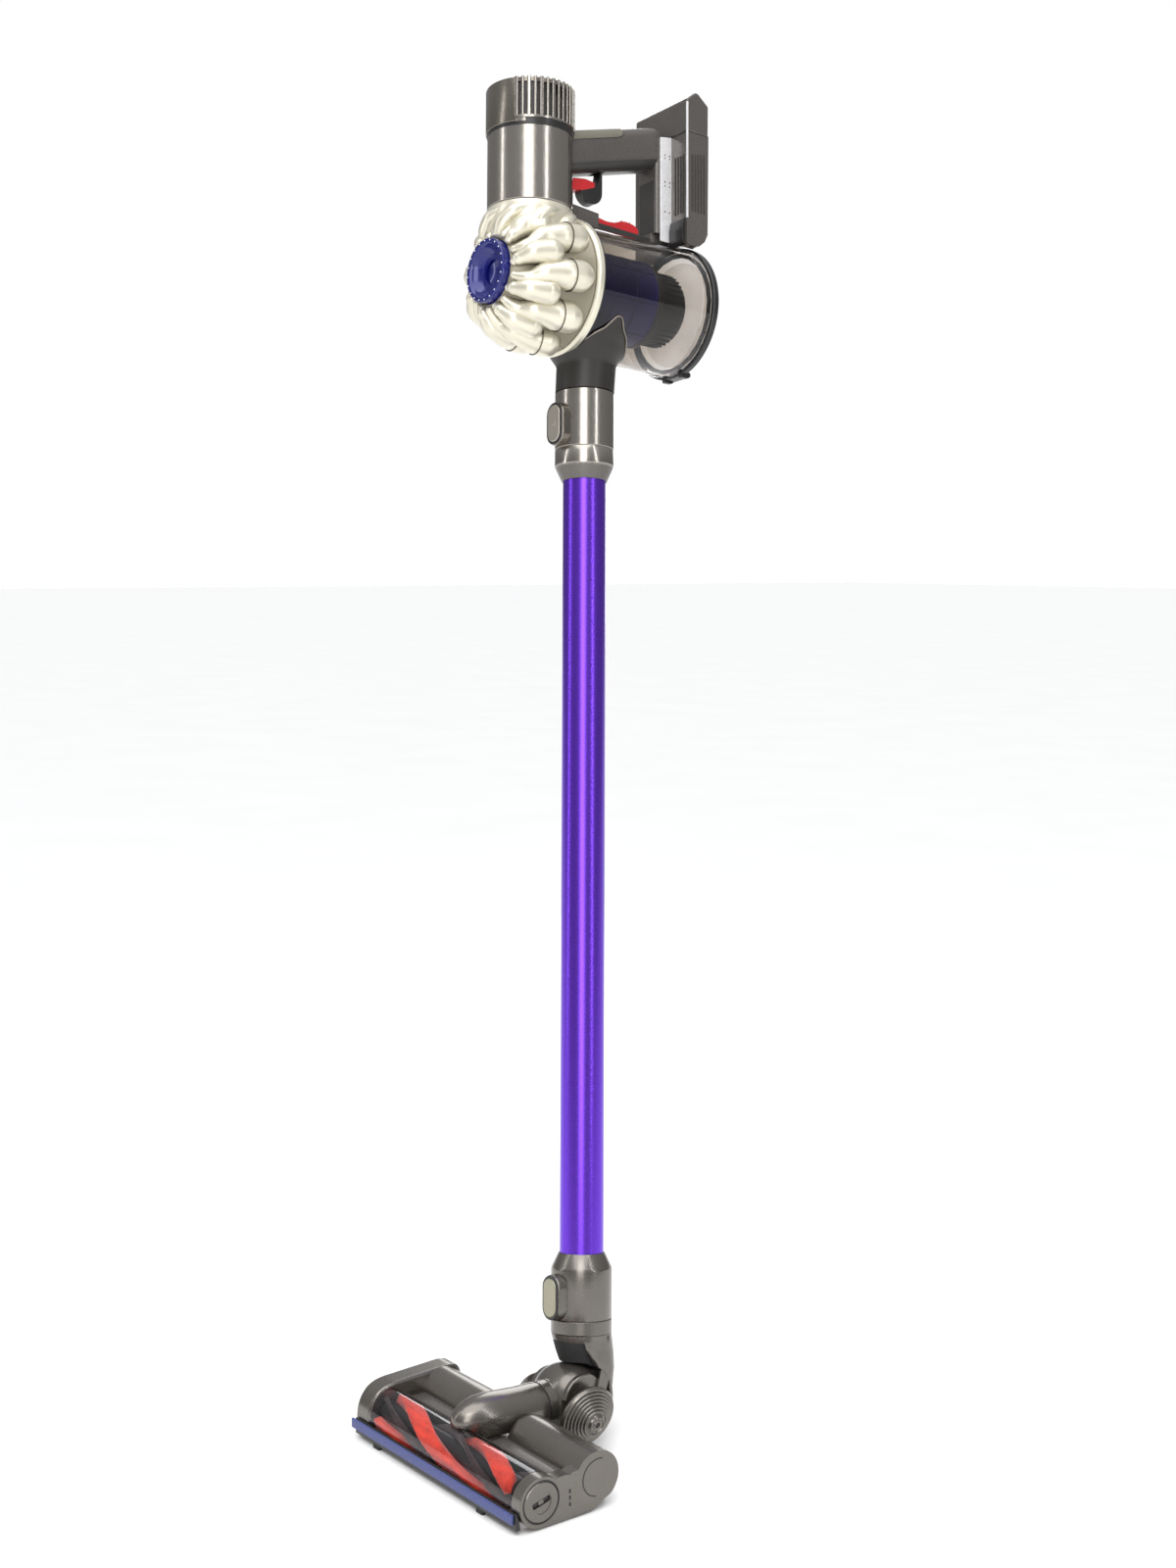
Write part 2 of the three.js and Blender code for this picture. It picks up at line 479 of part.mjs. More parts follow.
function buildElbow(group) {
  const dome = turned([[0, -22.7], [23.5, -22.7], [27.4, -15.5], [29.3, -8], [DOME_R, 0], [29.3, 8],
    [27.4, 15.5], [23.5, 22.7], [0, 22.7]], 'x', 24);
  const lip = (side) => common(rod(23.5, side * 25 - 3, side * 25 + 3, 'x', 24),
    prism(polygon([[0, 8], [12, 40], [-24, 40], [-40, 6]]), -31, 31, 'x'));
  const throat = turned([[0, -50], [15.6, -50], [15.6, -32.2], [20.6, -32.2], [20.6, -18], [0, -18]],
    'y', 24);
  const axles = [-1, 1].map((side) => wheelPlace(rod(WHEEL.axleR, -15, 12.6, 'z', 12), side));
  const pins = rod(3, -26, 26, 'x', 12);
  const duct = join(rod(12.5, -60, 3, 'y', 16), rod(11, -3, 60, 'z', 16));
  add(group, 'elbow_housing', cut(join(dome, lip(1), lip(-1), throat, ...axles, pins), duct), GREY);
  add(group, 'wheel_left', wheel(-1), GREY);
  add(group, 'wheel_right', wheel(1), GREY);
}

// ---------------------------------------------------------------- floor head
function clearWindow() {
  const reach = BRUSH.windowR + GAP;
  return rod(reach, HEAD.left - 20, HEAD.right + 20, 'x', 24).translate(0, BRUSH.y, BRUSH.z);
}

function snout() {
  const bullet = turned([[0, -32], [6, -30.5], [12.5, -24], [17, -14], [20, 0], [21.3, 20], [21.3, 42],
    [20.8, 56], [20.6, 57.5], [0, 57.5]], 'y', 24);
  const position = bullet.attributes.position;
  for (let i = 0; i < position.count; i += 1) {
    const y = position.getY(i);
    const rise = THREE.MathUtils.smoothstep(42 - y, 0, 60) * 6;
    position.setZ(i, position.getZ(i) + NECK.z + rise);
  }
  const skirt = prism(roundedRect(-15.5, DECK_Z + GAP, 15.5, 50, 2), -12, 50, 'y');
  const socket = rod(15.9, 38, 80, 'y', 20).translate(0, 0, NECK.z);
  const passage = rod(13, -4, 60, 'y', 16).translate(0, 0, NECK.z);
  const drop = rod(10.5, DECK_Z - 5, NECK.z, 'z', 12).translate(0, -2, 0);
  const overWeb = block(-30, 30, -40, 8, 0, DECK_Z + GAP);
  return cut(join(bullet, skirt), overWeb, clearWindow(), socket, passage, drop);
}

function headBase() {
  const section = polygon([[-19, SOLE_Z], [45, SOLE_Z], [46, 5], [46, 12], [8, DECK_Z], [-15, DECK_Z]]);
  const slab = prism(section, HEAD.left + GAP, HEAD.right - GAP, 'x');
  const clearBars = rod(BAR.r + GAP, -200, 200, 'x', 24).translate(0, BAR.y, BAR.z);
  const throat = block(-11, 11, -20, 0.5, 15, DECK_Z + 1);
  const feet = [-80, 80].map((x) => block(x - 7, x + 7, 34, 42, 0, SOLE_Z + 1));
  return cut(join(slab, ...feet), clearWindow(), clearBars, throat);
}

function sideOutline() {
  const shape = new THREE.Shape();
  shape.moveTo(-47, SOLE_Z);
  shape.lineTo(41, SOLE_Z);
  shape.quadraticCurveTo(48.5, SOLE_Z + 1, 48.5, 14);
  shape.lineTo(48.5, 38);
  shape.quadraticCurveTo(48.5, 50.8, 36, 51);
  shape.lineTo(-24, 48.5);
  shape.bezierCurveTo(-38, 48, -50.5, 40, -51.5, 22);
  shape.lineTo(-51.5, 8);
  shape.quadraticCurveTo(-51.5, SOLE_Z, -47, SOLE_Z);
  return shape;
}

function beltHousing() {
  const shell = prism(sideOutline(), -HEAD.half, HEAD.left, 'x');
  const bar = rod(BAR.r, HEAD.left - 4, -BAR.inner, 'x', 24).translate(0, BAR.y, BAR.z);
  const pocket = prism(beltLoop(BAR.y, BAR.z, 15.5, BRUSH.y, BRUSH.z, 18), -121.5, HEAD.left + 1, 'x');
  const bore = rod(BAR.r - BAR.wall, HEAD.left - 8, -BAR.inner - 4, 'x', 20).translate(0, BAR.y, BAR.z);
  return cut(join(shell, bar), pocket, bore);
}

function endPlate() {
  const front = rod(21.2, HEAD.right, HEAD.half, 'x', 24).translate(0, BRUSH.y, BRUSH.z - 0.4);
  const rear = rod(BAR.r + 0.4, HEAD.right, HEAD.half, 'x', 24).translate(0, BAR.y, BAR.z);
  const bridge = prism(polygon([[BRUSH.y, 2], [20, SOLE_Z + 0.2], [40, 11], [BAR.y - 14, 41.5],
    [BAR.y - 19, 40.5], [-17, 39.5]]), HEAD.right, HEAD.half, 'x');
  const capHole = rod(17.6, HEAD.right - 2, HEAD.half + 2, 'x', 24).translate(0, BRUSH.y, BRUSH.z);
  return cut(join(front, rear, bridge), capHole);
}

function endCap() {
  const at = [0, BRUSH.y, BRUSH.z];
  const disc = turned([[0, HEAD.right + 3], [17.2, HEAD.right + 3], [17.2, HEAD.half - 0.2],
    [16.5, HEAD.half + 0.4], [0, HEAD.half + 0.4]], 'x', 24).translate(...at);
  const boss = rod(6.5, 103, HEAD.right + 4, 'x', 12).translate(0, BRUSH.y, BRUSH.z);
  const slot = block(HEAD.half - 2.6, HEAD.half + 2, at[1] - 7, at[1] + 7, at[2] - 1.1, at[2] + 1.1);
  const bearing = rod(3.3, 100, HEAD.right - 1, 'x', 16).translate(0, BRUSH.y, BRUSH.z);
  return cut(join(disc, boss), slot, bearing);
}

function brushWindow() {
  const from = radians(-14);
  const to = radians(200);
  const shape = new THREE.Shape();
  shape.absarc(BRUSH.y, BRUSH.z, BRUSH.windowR, from, to, false);
  shape.absarc(BRUSH.y, BRUSH.z, BRUSH.windowR - 1.7, to, from, true);
  return new THREE.ExtrudeGeometry(shape, {
    depth: HEAD.right - HEAD.left - 2 * GAP, curveSegments: 14, bevelEnabled: false,
  }).translate(0, 0, HEAD.left + GAP).applyMatrix4(new THREE.Matrix4().makeBasis(
    new THREE.Vector3(0, 1, 0), new THREE.Vector3(0, 0, 1), new THREE.Vector3(1, 0, 0)));
}

function frontBumper() {
  const lip = prism(polygon([[-54, 4], [-54, 17.6], [-52.6, 17.6], [-50.4, 10], [-49.4, 5], [-49.4, 4]]),
    -HEAD.half + 4, 122, 'x');
  const clear = [
    rod(21.6, HEAD.right - 1, 130, 'x', 24).translate(0, BRUSH.y, BRUSH.z - 0.4),
    prism(sideOutline(), -130, HEAD.left + GAP, 'x'),
  ];
  const feet = [-88, 70].map((x) => block(x - 5, x + 5, -54, -49.5, 0, 5));
  return cut(join(lip, ...feet), clearWindow(), ...clear);
}

// A bristle row: a sector of the brush that winds round the core along its length.
function bristle(start, sweep, inner, outer, winding) {
  const from = HEAD.left + 5;
  const to = 98;
  const steps = 12;
  const shape = new THREE.Shape();
  shape.absarc(0, 0, outer, 0, sweep, false);
  shape.absarc(0, 0, inner, sweep, 0, true);
  const geometry = new THREE.ExtrudeGeometry(shape, {
    depth: to - from, steps, curveSegments: 2, bevelEnabled: false,
  });
  const position = geometry.attributes.position;
  const point = new THREE.Vector3();
  const axis = new THREE.Vector3(0, 0, 1);
  for (let i = 0; i < position.count; i += 1) {
    point.fromBufferAttribute(position, i);
    point.applyAxisAngle(axis, start + (winding * point.z) / (to - from));
    position.setXYZ(i, point.x, point.y, point.z);
  }
  geometry.translate(0, 0, from).applyMatrix4(new THREE.Matrix4().makeBasis(
    new THREE.Vector3(0, 1, 0), new THREE.Vector3(0, 0, 1), new THREE.Vector3(1, 0, 0)));
  return geometry.translate(0, BRUSH.y, BRUSH.z);
}

function buildBrush(group) {
  const core = turned([[0, -119], [BRUSH.pulleyR + 1.5, -119], [BRUSH.pulleyR + 1.5, -118],
    [BRUSH.pulleyR, -118], [BRUSH.pulleyR, -106], [BRUSH.pulleyR + 1.5, -106], [BRUSH.pulleyR + 1.5, -105],
    [6, -105], [6, -101], [BRUSH.coreR, -101], [BRUSH.coreR, 100], [3, 100], [3, 109], [0, 109]], 'x', 16);
  add(group, 'brush_core', core.translate(0, BRUSH.y, BRUSH.z), BLACK);
  const inner = BRUSH.coreR + 3 * GAP;
  const winding = radians(300);
  [0, 1].forEach((i) => {
    const start = Math.PI * i;
    const red = bristle(start, radians(62), inner, BRUSH.tipR, winding);
    add(group, `red_bristle_${i + 1}`, red, BRISTLE);
    const dark = bristle(start + radians(100), radians(14), inner, BRUSH.tipR - 0.4, winding);
    add(group, `carbon_bristle_${i + 1}`, dark, CARBON);
  });
}

function buildDrive(group) {
  const motor = rod(BAR.r - BAR.wall - 0.5, -99, -42, 'x', 20).translate(0, BAR.y, BAR.z);
  const shaftHole = rod(2.8, -105, -80, 'x', 14).translate(0, BAR.y, BAR.z);
  add(group, 'brush_motor', cut(motor, shaftHole), STEEL);
  const r = DRIVE.pulleyR;
  const pulley = turned([[0, -119], [r + 1.5, -119], [r + 1.5, -118], [r, -118], [r, -106], [r + 1.5, -106],
    [r + 1.5, -105], [2.5, -105], [2.5, -82], [0, -82]], 'x', 16);
  add(group, 'motor_pulley', pulley.translate(0, BAR.y, BAR.z), STEEL);
  const loop = (clear) =>
    beltLoop(BAR.y, BAR.z, r + clear, BRUSH.y, BRUSH.z, BRUSH.pulleyR + clear);
  const outer = prism(loop(GAP + DRIVE.beltT), -116, -108, 'x');
  add(group, 'drive_belt', cut(outer, prism(loop(GAP), -117, -107, 'x')), BLACK);
}

function buildHead(group) {
  add(group, 'snout', snout(), GREY);
  add(group, 'head_base', headBase(), GREY);
  add(group, 'belt_housing', beltHousing(), GREY);
  add(group, 'end_plate', endPlate(), GREY);
  add(group, 'brush_window', brushWindow(), CLEAR);
  const bar = turned([[0, BAR.inner], [BAR.r, BAR.inner], [BAR.r, HEAD.right - GAP],
    [BAR.r - BAR.wall, HEAD.right - GAP], [BAR.r - BAR.wall, BAR.inner + 3], [0, BAR.inner + 3]], 'x', 24);
  add(group, 'rear_bar', bar.translate(0, BAR.y, BAR.z), GREY);
  add(group, 'front_bumper', frontBumper(), BLACK);
  const felt = block(-HEAD.half + 0.5, 119, -56, -54.2, 8.5, 17);
  add(group, 'felt_strip', felt, FELT);
  add(group, 'brush_end_cap', endCap(), GREY);
}

// ---------------------------------------------------------------- assembly
function buildModel() {
  const model = new THREE.Group();
  const elbow = new THREE.Group();
  const neck = new THREE.Group();
  const wand = new THREE.Group();
  elbow.position.set(0, NECK.y, NECK.z);
  elbow.rotation.y = radians(LEAN_SIDE);
  neck.rotation.x = radians(LEAN_BACK);
  wand.position.set(0, WAND_OFFSET.y, WAND_OFFSET.z);
  model.add(elbow);
  elbow.add(neck);
  neck.add(wand);

  buildHead(model);
  buildBrush(model);
  buildDrive(model);
  buildElbow(elbow);
  buildNeck(neck);
  buildWand(wand);
  buildInlet(wand);
  buildMotor(wand);
  buildCyclones(wand);
  buildBin(wand);
  buildHandle(wand);
  buildBattery(wand);

  // The origin is the centre of the footprint box, on the floor.
  model.updateMatrixWorld(true);
  const box = new THREE.Box3().setFromObject(model, true);
  model.position.set(-(box.min.x + box.max.x) / 2, -(box.min.y + box.max.y) / 2, -box.min.z);
  return model;
}

export default buildModel();
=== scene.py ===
import bpy, bmesh, random
from math import atan2, copysign, cos, exp, hypot, log, pi, radians, sin, sqrt
from mathutils import Matrix, Vector


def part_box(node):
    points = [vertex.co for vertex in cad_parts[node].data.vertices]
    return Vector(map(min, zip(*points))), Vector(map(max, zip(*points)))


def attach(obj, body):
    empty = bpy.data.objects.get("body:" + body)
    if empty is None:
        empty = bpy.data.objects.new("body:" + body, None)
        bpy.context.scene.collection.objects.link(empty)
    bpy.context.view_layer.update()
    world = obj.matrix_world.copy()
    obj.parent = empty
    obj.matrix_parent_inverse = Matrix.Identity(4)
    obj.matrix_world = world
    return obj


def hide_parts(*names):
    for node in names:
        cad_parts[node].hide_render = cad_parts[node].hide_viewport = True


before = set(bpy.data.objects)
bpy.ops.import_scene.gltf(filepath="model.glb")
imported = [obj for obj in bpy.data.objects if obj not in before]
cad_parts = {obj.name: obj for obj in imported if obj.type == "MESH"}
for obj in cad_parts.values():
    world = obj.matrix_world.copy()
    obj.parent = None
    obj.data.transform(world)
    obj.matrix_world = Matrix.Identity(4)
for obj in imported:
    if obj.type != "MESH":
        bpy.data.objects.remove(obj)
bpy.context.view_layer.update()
scene = bpy.context.scene
random.seed(7)

# ------------ frames: each turns its own millimetres into the world's metres
LEAN_SIDE, LEAN_BACK = radians(-8.55), radians(-6.53)
left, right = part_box("belt_housing"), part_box("end_plate")
origin = Vector(((left[0][0] + right[1][0]) * 500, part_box("felt_strip")[0][1] * 1000 + 56, 0))
MM = Matrix.Scale(0.001, 4)
HEAD = MM @ Matrix.Translation(origin)
ELBOW = HEAD @ Matrix.Translation((0, 90, 41)) @ Matrix.Rotation(LEAN_SIDE, 4, "Y")
NECK = ELBOW @ Matrix.Rotation(LEAN_BACK, 4, "X")
WAND = NECK @ Matrix.Translation((0, 15.1, -9.2))


# ------------ materials
def blank(owner):
    """Empty the node tree of a material or world, and return the function that adds nodes to it."""
    owner.use_nodes = True
    tree = owner.node_tree
    tree.nodes.clear()

    def node(kind, values=None, wires=None, **settings):
        made = tree.nodes.new("ShaderNode" + kind)
        for key, value in settings.items():
            setattr(made, key, value)
        for key, value in (values or {}).items():
            made.inputs[key].default_value = value
        for key, source in (wires or {}).items():
            tree.links.new(source, made.inputs[key])
        return made
    return node


def ramp(node, source, low, high, start=0.0, end=1.0):
    """The output of a colour ramp between two colours."""
    made = node("ValToRGB", wires={"Fac": source})
    first, last = made.color_ramp.elements
    first.position, last.position = start, end
    first.color, last.color = [*low, 1], [*high, 1]
    return made.outputs["Color"]


def material(name, color, metallic=0.0, rough=0.4, coat=0.0, var=0.08, scale=40.0, bump=0.04,
             grain=1500.0, stretch=(1, 1, 1), sheen=0.0, rough_var=0.06):
    """A surface whose colour varies broadly, and whose roughness and relief vary finely."""
    m = bpy.data.materials.new(name)
    node = blank(m)
    place = node("TexCoord").outputs["Object"]
    place = node("Mapping", {"Scale": stretch}, {"Vector": place}).outputs["Vector"]
    broad = node("TexNoise", {"Scale": scale, "Detail": 6}, {"Vector": place}).outputs["Fac"]
    fine = node("TexNoise", {"Scale": grain, "Detail": 3}, {"Vector": place}).outputs["Fac"]
    low = [max(0.0, c * (1 - var)) for c in color]
    high = [min(1.0, c * (1 + var)) for c in color]
    span = {"From Min": 0.3, "From Max": 0.7, "To Min": max(0.02, rough - rough_var),
            "To Max": min(1.0, rough + rough_var)}
    polish = node("MapRange", span, {"Value": fine}).outputs["Result"]
    relief = node("Bump", {"Strength": bump, "Distance": 0.0004}, {"Height": fine}).outputs["Normal"]
    surface = node("BsdfPrincipled",
                   {"Metallic": metallic, "Coat Weight": coat, "Coat Roughness": 0.08, "Sheen Weight": sheen},
                   {"Base Color": ramp(node, broad, low, high, 0.35, 0.65), "Roughness": polish, "Normal": relief})
    node("OutputMaterial", wires={"Surface": surface.outputs["BSDF"]})
    return m


def clear(name, tint, dark=None, span=None, rough=0.03, ior=1.45):
    """Clear plastic, glossy on its outer side only; dark is a darker tint, a painted reflection, before span's first
    Y, fading over span.
    """
    m = bpy.data.materials.new(name)
    node = blank(m)
    place = node("TexCoord").outputs["Object"]
    cloud = node("TexNoise", {"Scale": 18}, {"Vector": place}).outputs["Fac"]
    color = ramp(node, cloud, [c * 0.94 for c in tint], tint, 0.3, 0.7)
    if dark:
        along = node("SeparateXYZ", wires={"Vector": place}).outputs["Y"]
        along = node("MapRange", {"From Min": span[0], "From Max": span[1]}, {"Value": along},
                     interpolation_type="SMOOTHSTEP").outputs["Result"]
        color = node("Mix", {6: [*dark, 1]}, {0: along, 7: color}, data_type="RGBA").outputs[2]
    through = node("BsdfTransparent", wires={"Color": color}).outputs["BSDF"]
    gloss = node("BsdfGlossy", {"Roughness": rough, "Color": (0.95, 0.95, 0.97, 1)}).outputs["BSDF"]
    fresnel = node("Fresnel", {"IOR": ior}).outputs["Fac"]
    back = node("NewGeometry").outputs["Backfacing"]
    outer = node("Math", {0: 1.0}, {1: back}, operation="SUBTRACT").outputs["Value"]
    share = node("Math", wires={0: fresnel, 1: outer}, operation="MULTIPLY").outputs["Value"]
    mix = node("MixShader", wires={0: share, 1: through, 2: gloss}).outputs["Shader"]
    node("OutputMaterial", wires={"Surface": mix})
    return m


SATIN_GRAIN = dict(bump=0.004, grain=1800, rough_var=0.025)
BRUSHED = dict(bump=0.001, grain=900, stretch=(1, 1, 0.04), rough_var=0.04, scale=8)
HOUSING = material("housing_grey", (0.150, 0.138, 0.123), 0.82, 0.27, 0.30, 0.05, 30, **SATIN_GRAIN)
SHELL = material("shell_grey", (0.120, 0.110, 0.102), 0.55, 0.28, 0.2, 0.05, 30, **SATIN_GRAIN)
# dark plastic, also used as painted shade on the grip's underside and on the post's front
DARKGRIP_AND_SHADE = material("grip_dark_and_painted_shade", (0.030, 0.028, 0.026), 0.1, 0.42, 0.0, 0.1, 60, 0.03, 2600)
INLAY = material("inlay_grey", (0.200, 0.188, 0.150), 0.5, 0.36, 0.0, 0.05, 30, **SATIN_GRAIN)
NICKEL = material("satin_nickel", (0.36, 0.335, 0.305), 1.0, 0.21, 0.0, 0.04, **BRUSHED)
SATIN = material("dark_nickel", (0.195, 0.177, 0.152), 0.95, 0.24, 0.0, 0.04, **BRUSHED)
PEARL = material("pearl", (0.68, 0.645, 0.53), 0.60, 0.31, 0.3, 0.06, 26, **SATIN_GRAIN)
# darker pearl: painted shade for the gaps between the cyclone cones
PEARL_PAINTED_SHADE = material("pearl_painted_shade", (0.20, 0.18, 0.13), 0.50, 0.35, 0.2, 0.08, 26, **SATIN_GRAIN)
PURPLE = material("anodised_purple", (0.150, 0.048, 0.60), 0.94, 0.27, 0.0, 0.03, 8, 0.001, 900, (1, 1, 0.04),
                  0.0, 0.012)
BLUE = material("deep_blue", (0.005, 0.009, 0.145), 0.25, 0.22, 0.35, 0.1, 40, **SATIN_GRAIN)
MESH_BLUE = material("shroud_blue", (0.022, 0.018, 0.20), 0.5, 0.30, 0.3, 0.15, 90, 0.1, 1000)
RED = material("trigger_red", (0.48, 0.012, 0.016), 0.1, 0.30, 0.3, 0.06, 40, **SATIN_GRAIN)
# black plastic, also used as painted shadow under the motor cap and on the battery's lower front chamfer
BLACK = material("black_plastic_and_painted_shadow", (0.008, 0.008, 0.008), 0.0, 0.38, 0.1, 0.2, 60, 0.03, 2200)
SATIN_BLACK = material("duct_black", (0.0125, 0.0105, 0.0085), 0.0, 0.46, 0.0, 0.12, 30, **SATIN_GRAIN)
RUBBER = material("rubber", (0.012, 0.012, 0.012), 0.0, 0.7, 0.0, 0.2, 90, 0.1, 1800)
STEEL = material("steel", (0.52, 0.52, 0.53), 1.0, 0.28, 0.0, 0.05, 60, **SATIN_GRAIN)
# silver, also used for painted highlights on the battery's edge and on the finger stop's edge
SILVER_AND_HIGHLIGHT = material("silver_and_painted_highlight", (0.84, 0.84, 0.86), 0.35, 0.28, 0.3, 0.05, 60, **SATIN_GRAIN)
OLIVE = material("button_face", (0.34, 0.325, 0.235), 0.55, 0.33, 0.1, 0.06, 50, **SATIN_GRAIN)
BUTTON_NICKEL = material("button_nickel", (0.40, 0.37, 0.32), 0.7, 0.30, 0.1, 0.06, 50, **SATIN_GRAIN)
PILE_RED = material("red_pile", (0.86, 0.050, 0.016), 0.0, 0.85, 0.0, 0.25, 220, 0.4, 1600, (0.25, 1, 1), 0.3, 0.1)
PILE_DARK = material("carbon_pile", (0.030, 0.016, 0.013), 0.0, 0.8, 0.0, 0.4, 260, 0.4, 1800, (0.25, 1, 1), 0.2, 0.1)
FELT = material("blue_felt", (0.040, 0.055, 0.20), 0.0, 0.95, 0.0, 0.3, 900, 0.5, 1600, (1, 1, 1), 0.3, 0.05)
PAPER = material("filter_media", (0.62, 0.61, 0.58), 0.0, 0.9, 0.0, 0.1, 120, 0.3, 900)
CELLS = material("cell_sleeve", (0.05, 0.24, 0.15), 0.0, 0.4, 0.2, 0.1, 60, 0.03, 1500)
# smoky clear plastic, painted darker towards the cyclone end: a painted reflection of the dark motor and handle
BIN_CLEAR = clear("smoky_clear_painted_reflection", (0.93, 0.915, 0.90), (0.66, 0.62, 0.57),
                  ((WAND @ Vector((0, 20, 1006))).y, (WAND @ Vector((0, 88, 1006))).y))
WINDOW_CLEAR = clear("window_clear", (0.90, 0.885, 0.90))


# ------------ shapes, as (points, faces)
AXES = {"x": lambda u, v, w: (w, u, v), "y": lambda u, v, w: (u, w, v), "z": lambda u, v, w: (u, v, w)}


def lathe(profile, axis="z", at=(0, 0, 0), seg=96, start=0.0, sweep=360.0):
    """A profile of (radius, height) points turned about an axis, all the way or through sweep degrees."""
    put = AXES[axis]
    full = sweep >= 360
    n = seg if full else seg + 1
    pts, rings, faces = [], [], []
    for r, h in profile:
        if r < 1e-6:
            rings.append([len(pts)] * n)
            pts.append(put(0, 0, h))
            continue
        rings.append(list(range(len(pts), len(pts) + n)))
        for i in range(n):
            a = radians(start + sweep * i / seg)
            pts.append(put(r * cos(a), r * sin(a), h))
    m = len(rings)
    ends = profile[0][0] < 1e-6 and profile[-1][0] < 1e-6
    for j in range(m if not ends else m - 1):
        p, q = rings[j], rings[(j + 1) % m]
        for i in range(n if full else n - 1):
            k = (i + 1) % n
            f = []
            for v in (p[i], p[k], q[k], q[i]):
                if v not in f:
                    f.append(v)
            if len(f) > 2:
                faces.append(tuple(f))
    if not full:
        for i in (0, n - 1):
            cap = []
            for ring in rings:
                if ring[i] not in cap:
                    cap.append(ring[i])
            faces.append(tuple(cap))
    return [Vector(p) + Vector(at) for p in pts], faces


def loops(rows, n):
    """Faces between rows of n points, each row a closed loop."""
    return [(j * n + i, j * n + (i + 1) % n, (j + 1) * n + (i + 1) % n, (j + 1) * n + i)
            for j in range(rows - 1) for i in range(n)]


def rod(r, a, b, axis="z", at=(0, 0, 0), seg=64, edge=0.6):
    return lathe([(0, a), (r - edge, a), (r - edge * 0.3, a + edge * 0.3), (r, a + edge), (r, b - edge),
                  (r - edge * 0.3, b - edge * 0.3), (r - edge, b), (0, b)], axis, at, seg)


def ring(ro, ri, a, b, axis="z", at=(0, 0, 0), seg=96, edge=0.5):
    return lathe([(ri, a), (ro - edge, a), (ro, a + edge), (ro, b - edge), (ro - edge, b), (ri, b)], axis, at, seg)


def slab(outline, a, b, axis="z", at=(0, 0, 0)):
    """An outline pulled along an axis from a to b."""
    put = AXES[axis]
    n = len(outline)
    pts = [put(u, v, w) for w in (a, b) for u, v in outline]
    faces = [tuple(range(n)), tuple(range(2 * n - 1, n - 1, -1))]
    faces += [(i, (i + 1) % n, n + (i + 1) % n, n + i) for i in range(n)]
    return [Vector(p) + Vector(at) for p in pts], faces


def block(x0, x1, y0, y1, z0, z1):
    return slab([(x0, y0), (x1, y0), (x1, y1), (x0, y1)], z0, z1)


def arc(cu, cv, r, a, b, n=12):
    turns = [radians(a + (b - a) * i / n) for i in range(n + 1)]
    return [(cu + r * cos(t), cv + r * sin(t)) for t in turns]


def rrect(u0, v0, u1, v1, r, n=10):
    """A rectangle with round corners."""
    return (arc(u1 - r, v1 - r, r, 0, 90, n) + arc(u0 + r, v1 - r, r, 90, 180, n)
            + arc(u0 + r, v0 + r, r, 180, 270, n) + arc(u1 - r, v0 + r, r, 270, 360, n))


def soften(points, r, n=4):
    """The same outline with its corners rounded."""
    out, m = [], len(points)
    for i in range(m):
        p, a, b = Vector(points[i]), Vector(points[i - 1]), Vector(points[(i + 1) % m])
        da, db = (a - p), (b - p)
        t = min(r, da.length * 0.45, db.length * 0.45)
        s, e = p + da.normalized() * t, p + db.normalized() * t
        for k in range(n + 1):
            u = k / n
            out.append(tuple(s * (1 - u) ** 2 + p * 2 * u * (1 - u) + e * u ** 2))
    return out


def sweep(points, radii, seg=20, steps=26):
    """A round tube of changing radius along a smooth path, with round ends."""
    pts = [Vector(p) for p in points]

    def at(u):
        x = u * (len(pts) - 1)
        i = min(int(x), len(pts) - 2)
        f = x - i
        p0, p1, p2, p3 = pts[max(i - 1, 0)], pts[i], pts[i + 1], pts[min(i + 2, len(pts) - 1)]
        pos = 0.5 * (2 * p1 + (p2 - p0) * f + (2 * p0 - 5 * p1 + 4 * p2 - p3) * f * f
                     + (3 * p1 - p0 - 3 * p2 + p3) * f ** 3)
        w = f * f * (3 - 2 * f)
        return pos, radii[i] * (1 - w) + radii[i + 1] * w
    rows = []
    p, r = at(0)
    d0 = (at(0.02)[0] - p).normalized()
    q, rq = at(1)
    d1 = (q - at(0.98)[0]).normalized()
    for k in range(5):
        a = pi / 2 * k / 5
        rows.append((p - d0 * r * cos(a), max(1e-3, r * sin(a)), d0))
    for k in range(steps + 1):
        u = k / steps
        c, rad = at(u)
        d = (at(min(1, u + 0.01))[0] - at(max(0, u - 0.01))[0]).normalized()
        rows.append((c, rad, d))
    for k in range(1, 6):
        a = pi / 2 * k / 5
        rows.append((q + d1 * rq * sin(a), max(1e-3, rq * cos(a)), d1))
    verts = []
    side = rows[0][2].orthogonal().normalized()
    for c, rad, d in rows:
        side = (side - d * side.dot(d)).normalized()
        other = d.cross(side)
        for i in range(seg):
            a = 2 * pi * i / seg
            verts.append(c + side * rad * cos(a) + other * rad * sin(a))
    return verts, loops(len(rows), seg)


def turned(angle, axis, at=(0, 0, 0)):
    return Matrix.Translation(at) @ Matrix.Rotation(radians(angle), 4, axis)


def moved(shape, matrix):
    return [matrix @ p for p in shape[0]], shape[1]


def spread(shape, angles, axis, at):
    """Copies of a shape turned about an axis, each moved to at."""
    return [moved(shape, turned(a, axis, at)) for a in angles]


def together(*shapes):
    verts, faces = [], []
    for v, f in shapes:
        faces += [tuple(i + len(verts) for i in face) for face in f]
        verts += v
    return verts, faces


def raw_mesh(name, shape, place):
    mesh = bpy.data.meshes.new(name)
    mesh.from_pydata([place @ p for p in shape[0]], [], shape[1])
    bm = bmesh.new()
    bm.from_mesh(mesh)
    bmesh.ops.recalc_face_normals(bm, faces=bm.faces)
    bm.to_mesh(mesh)
    bm.free()
    return mesh


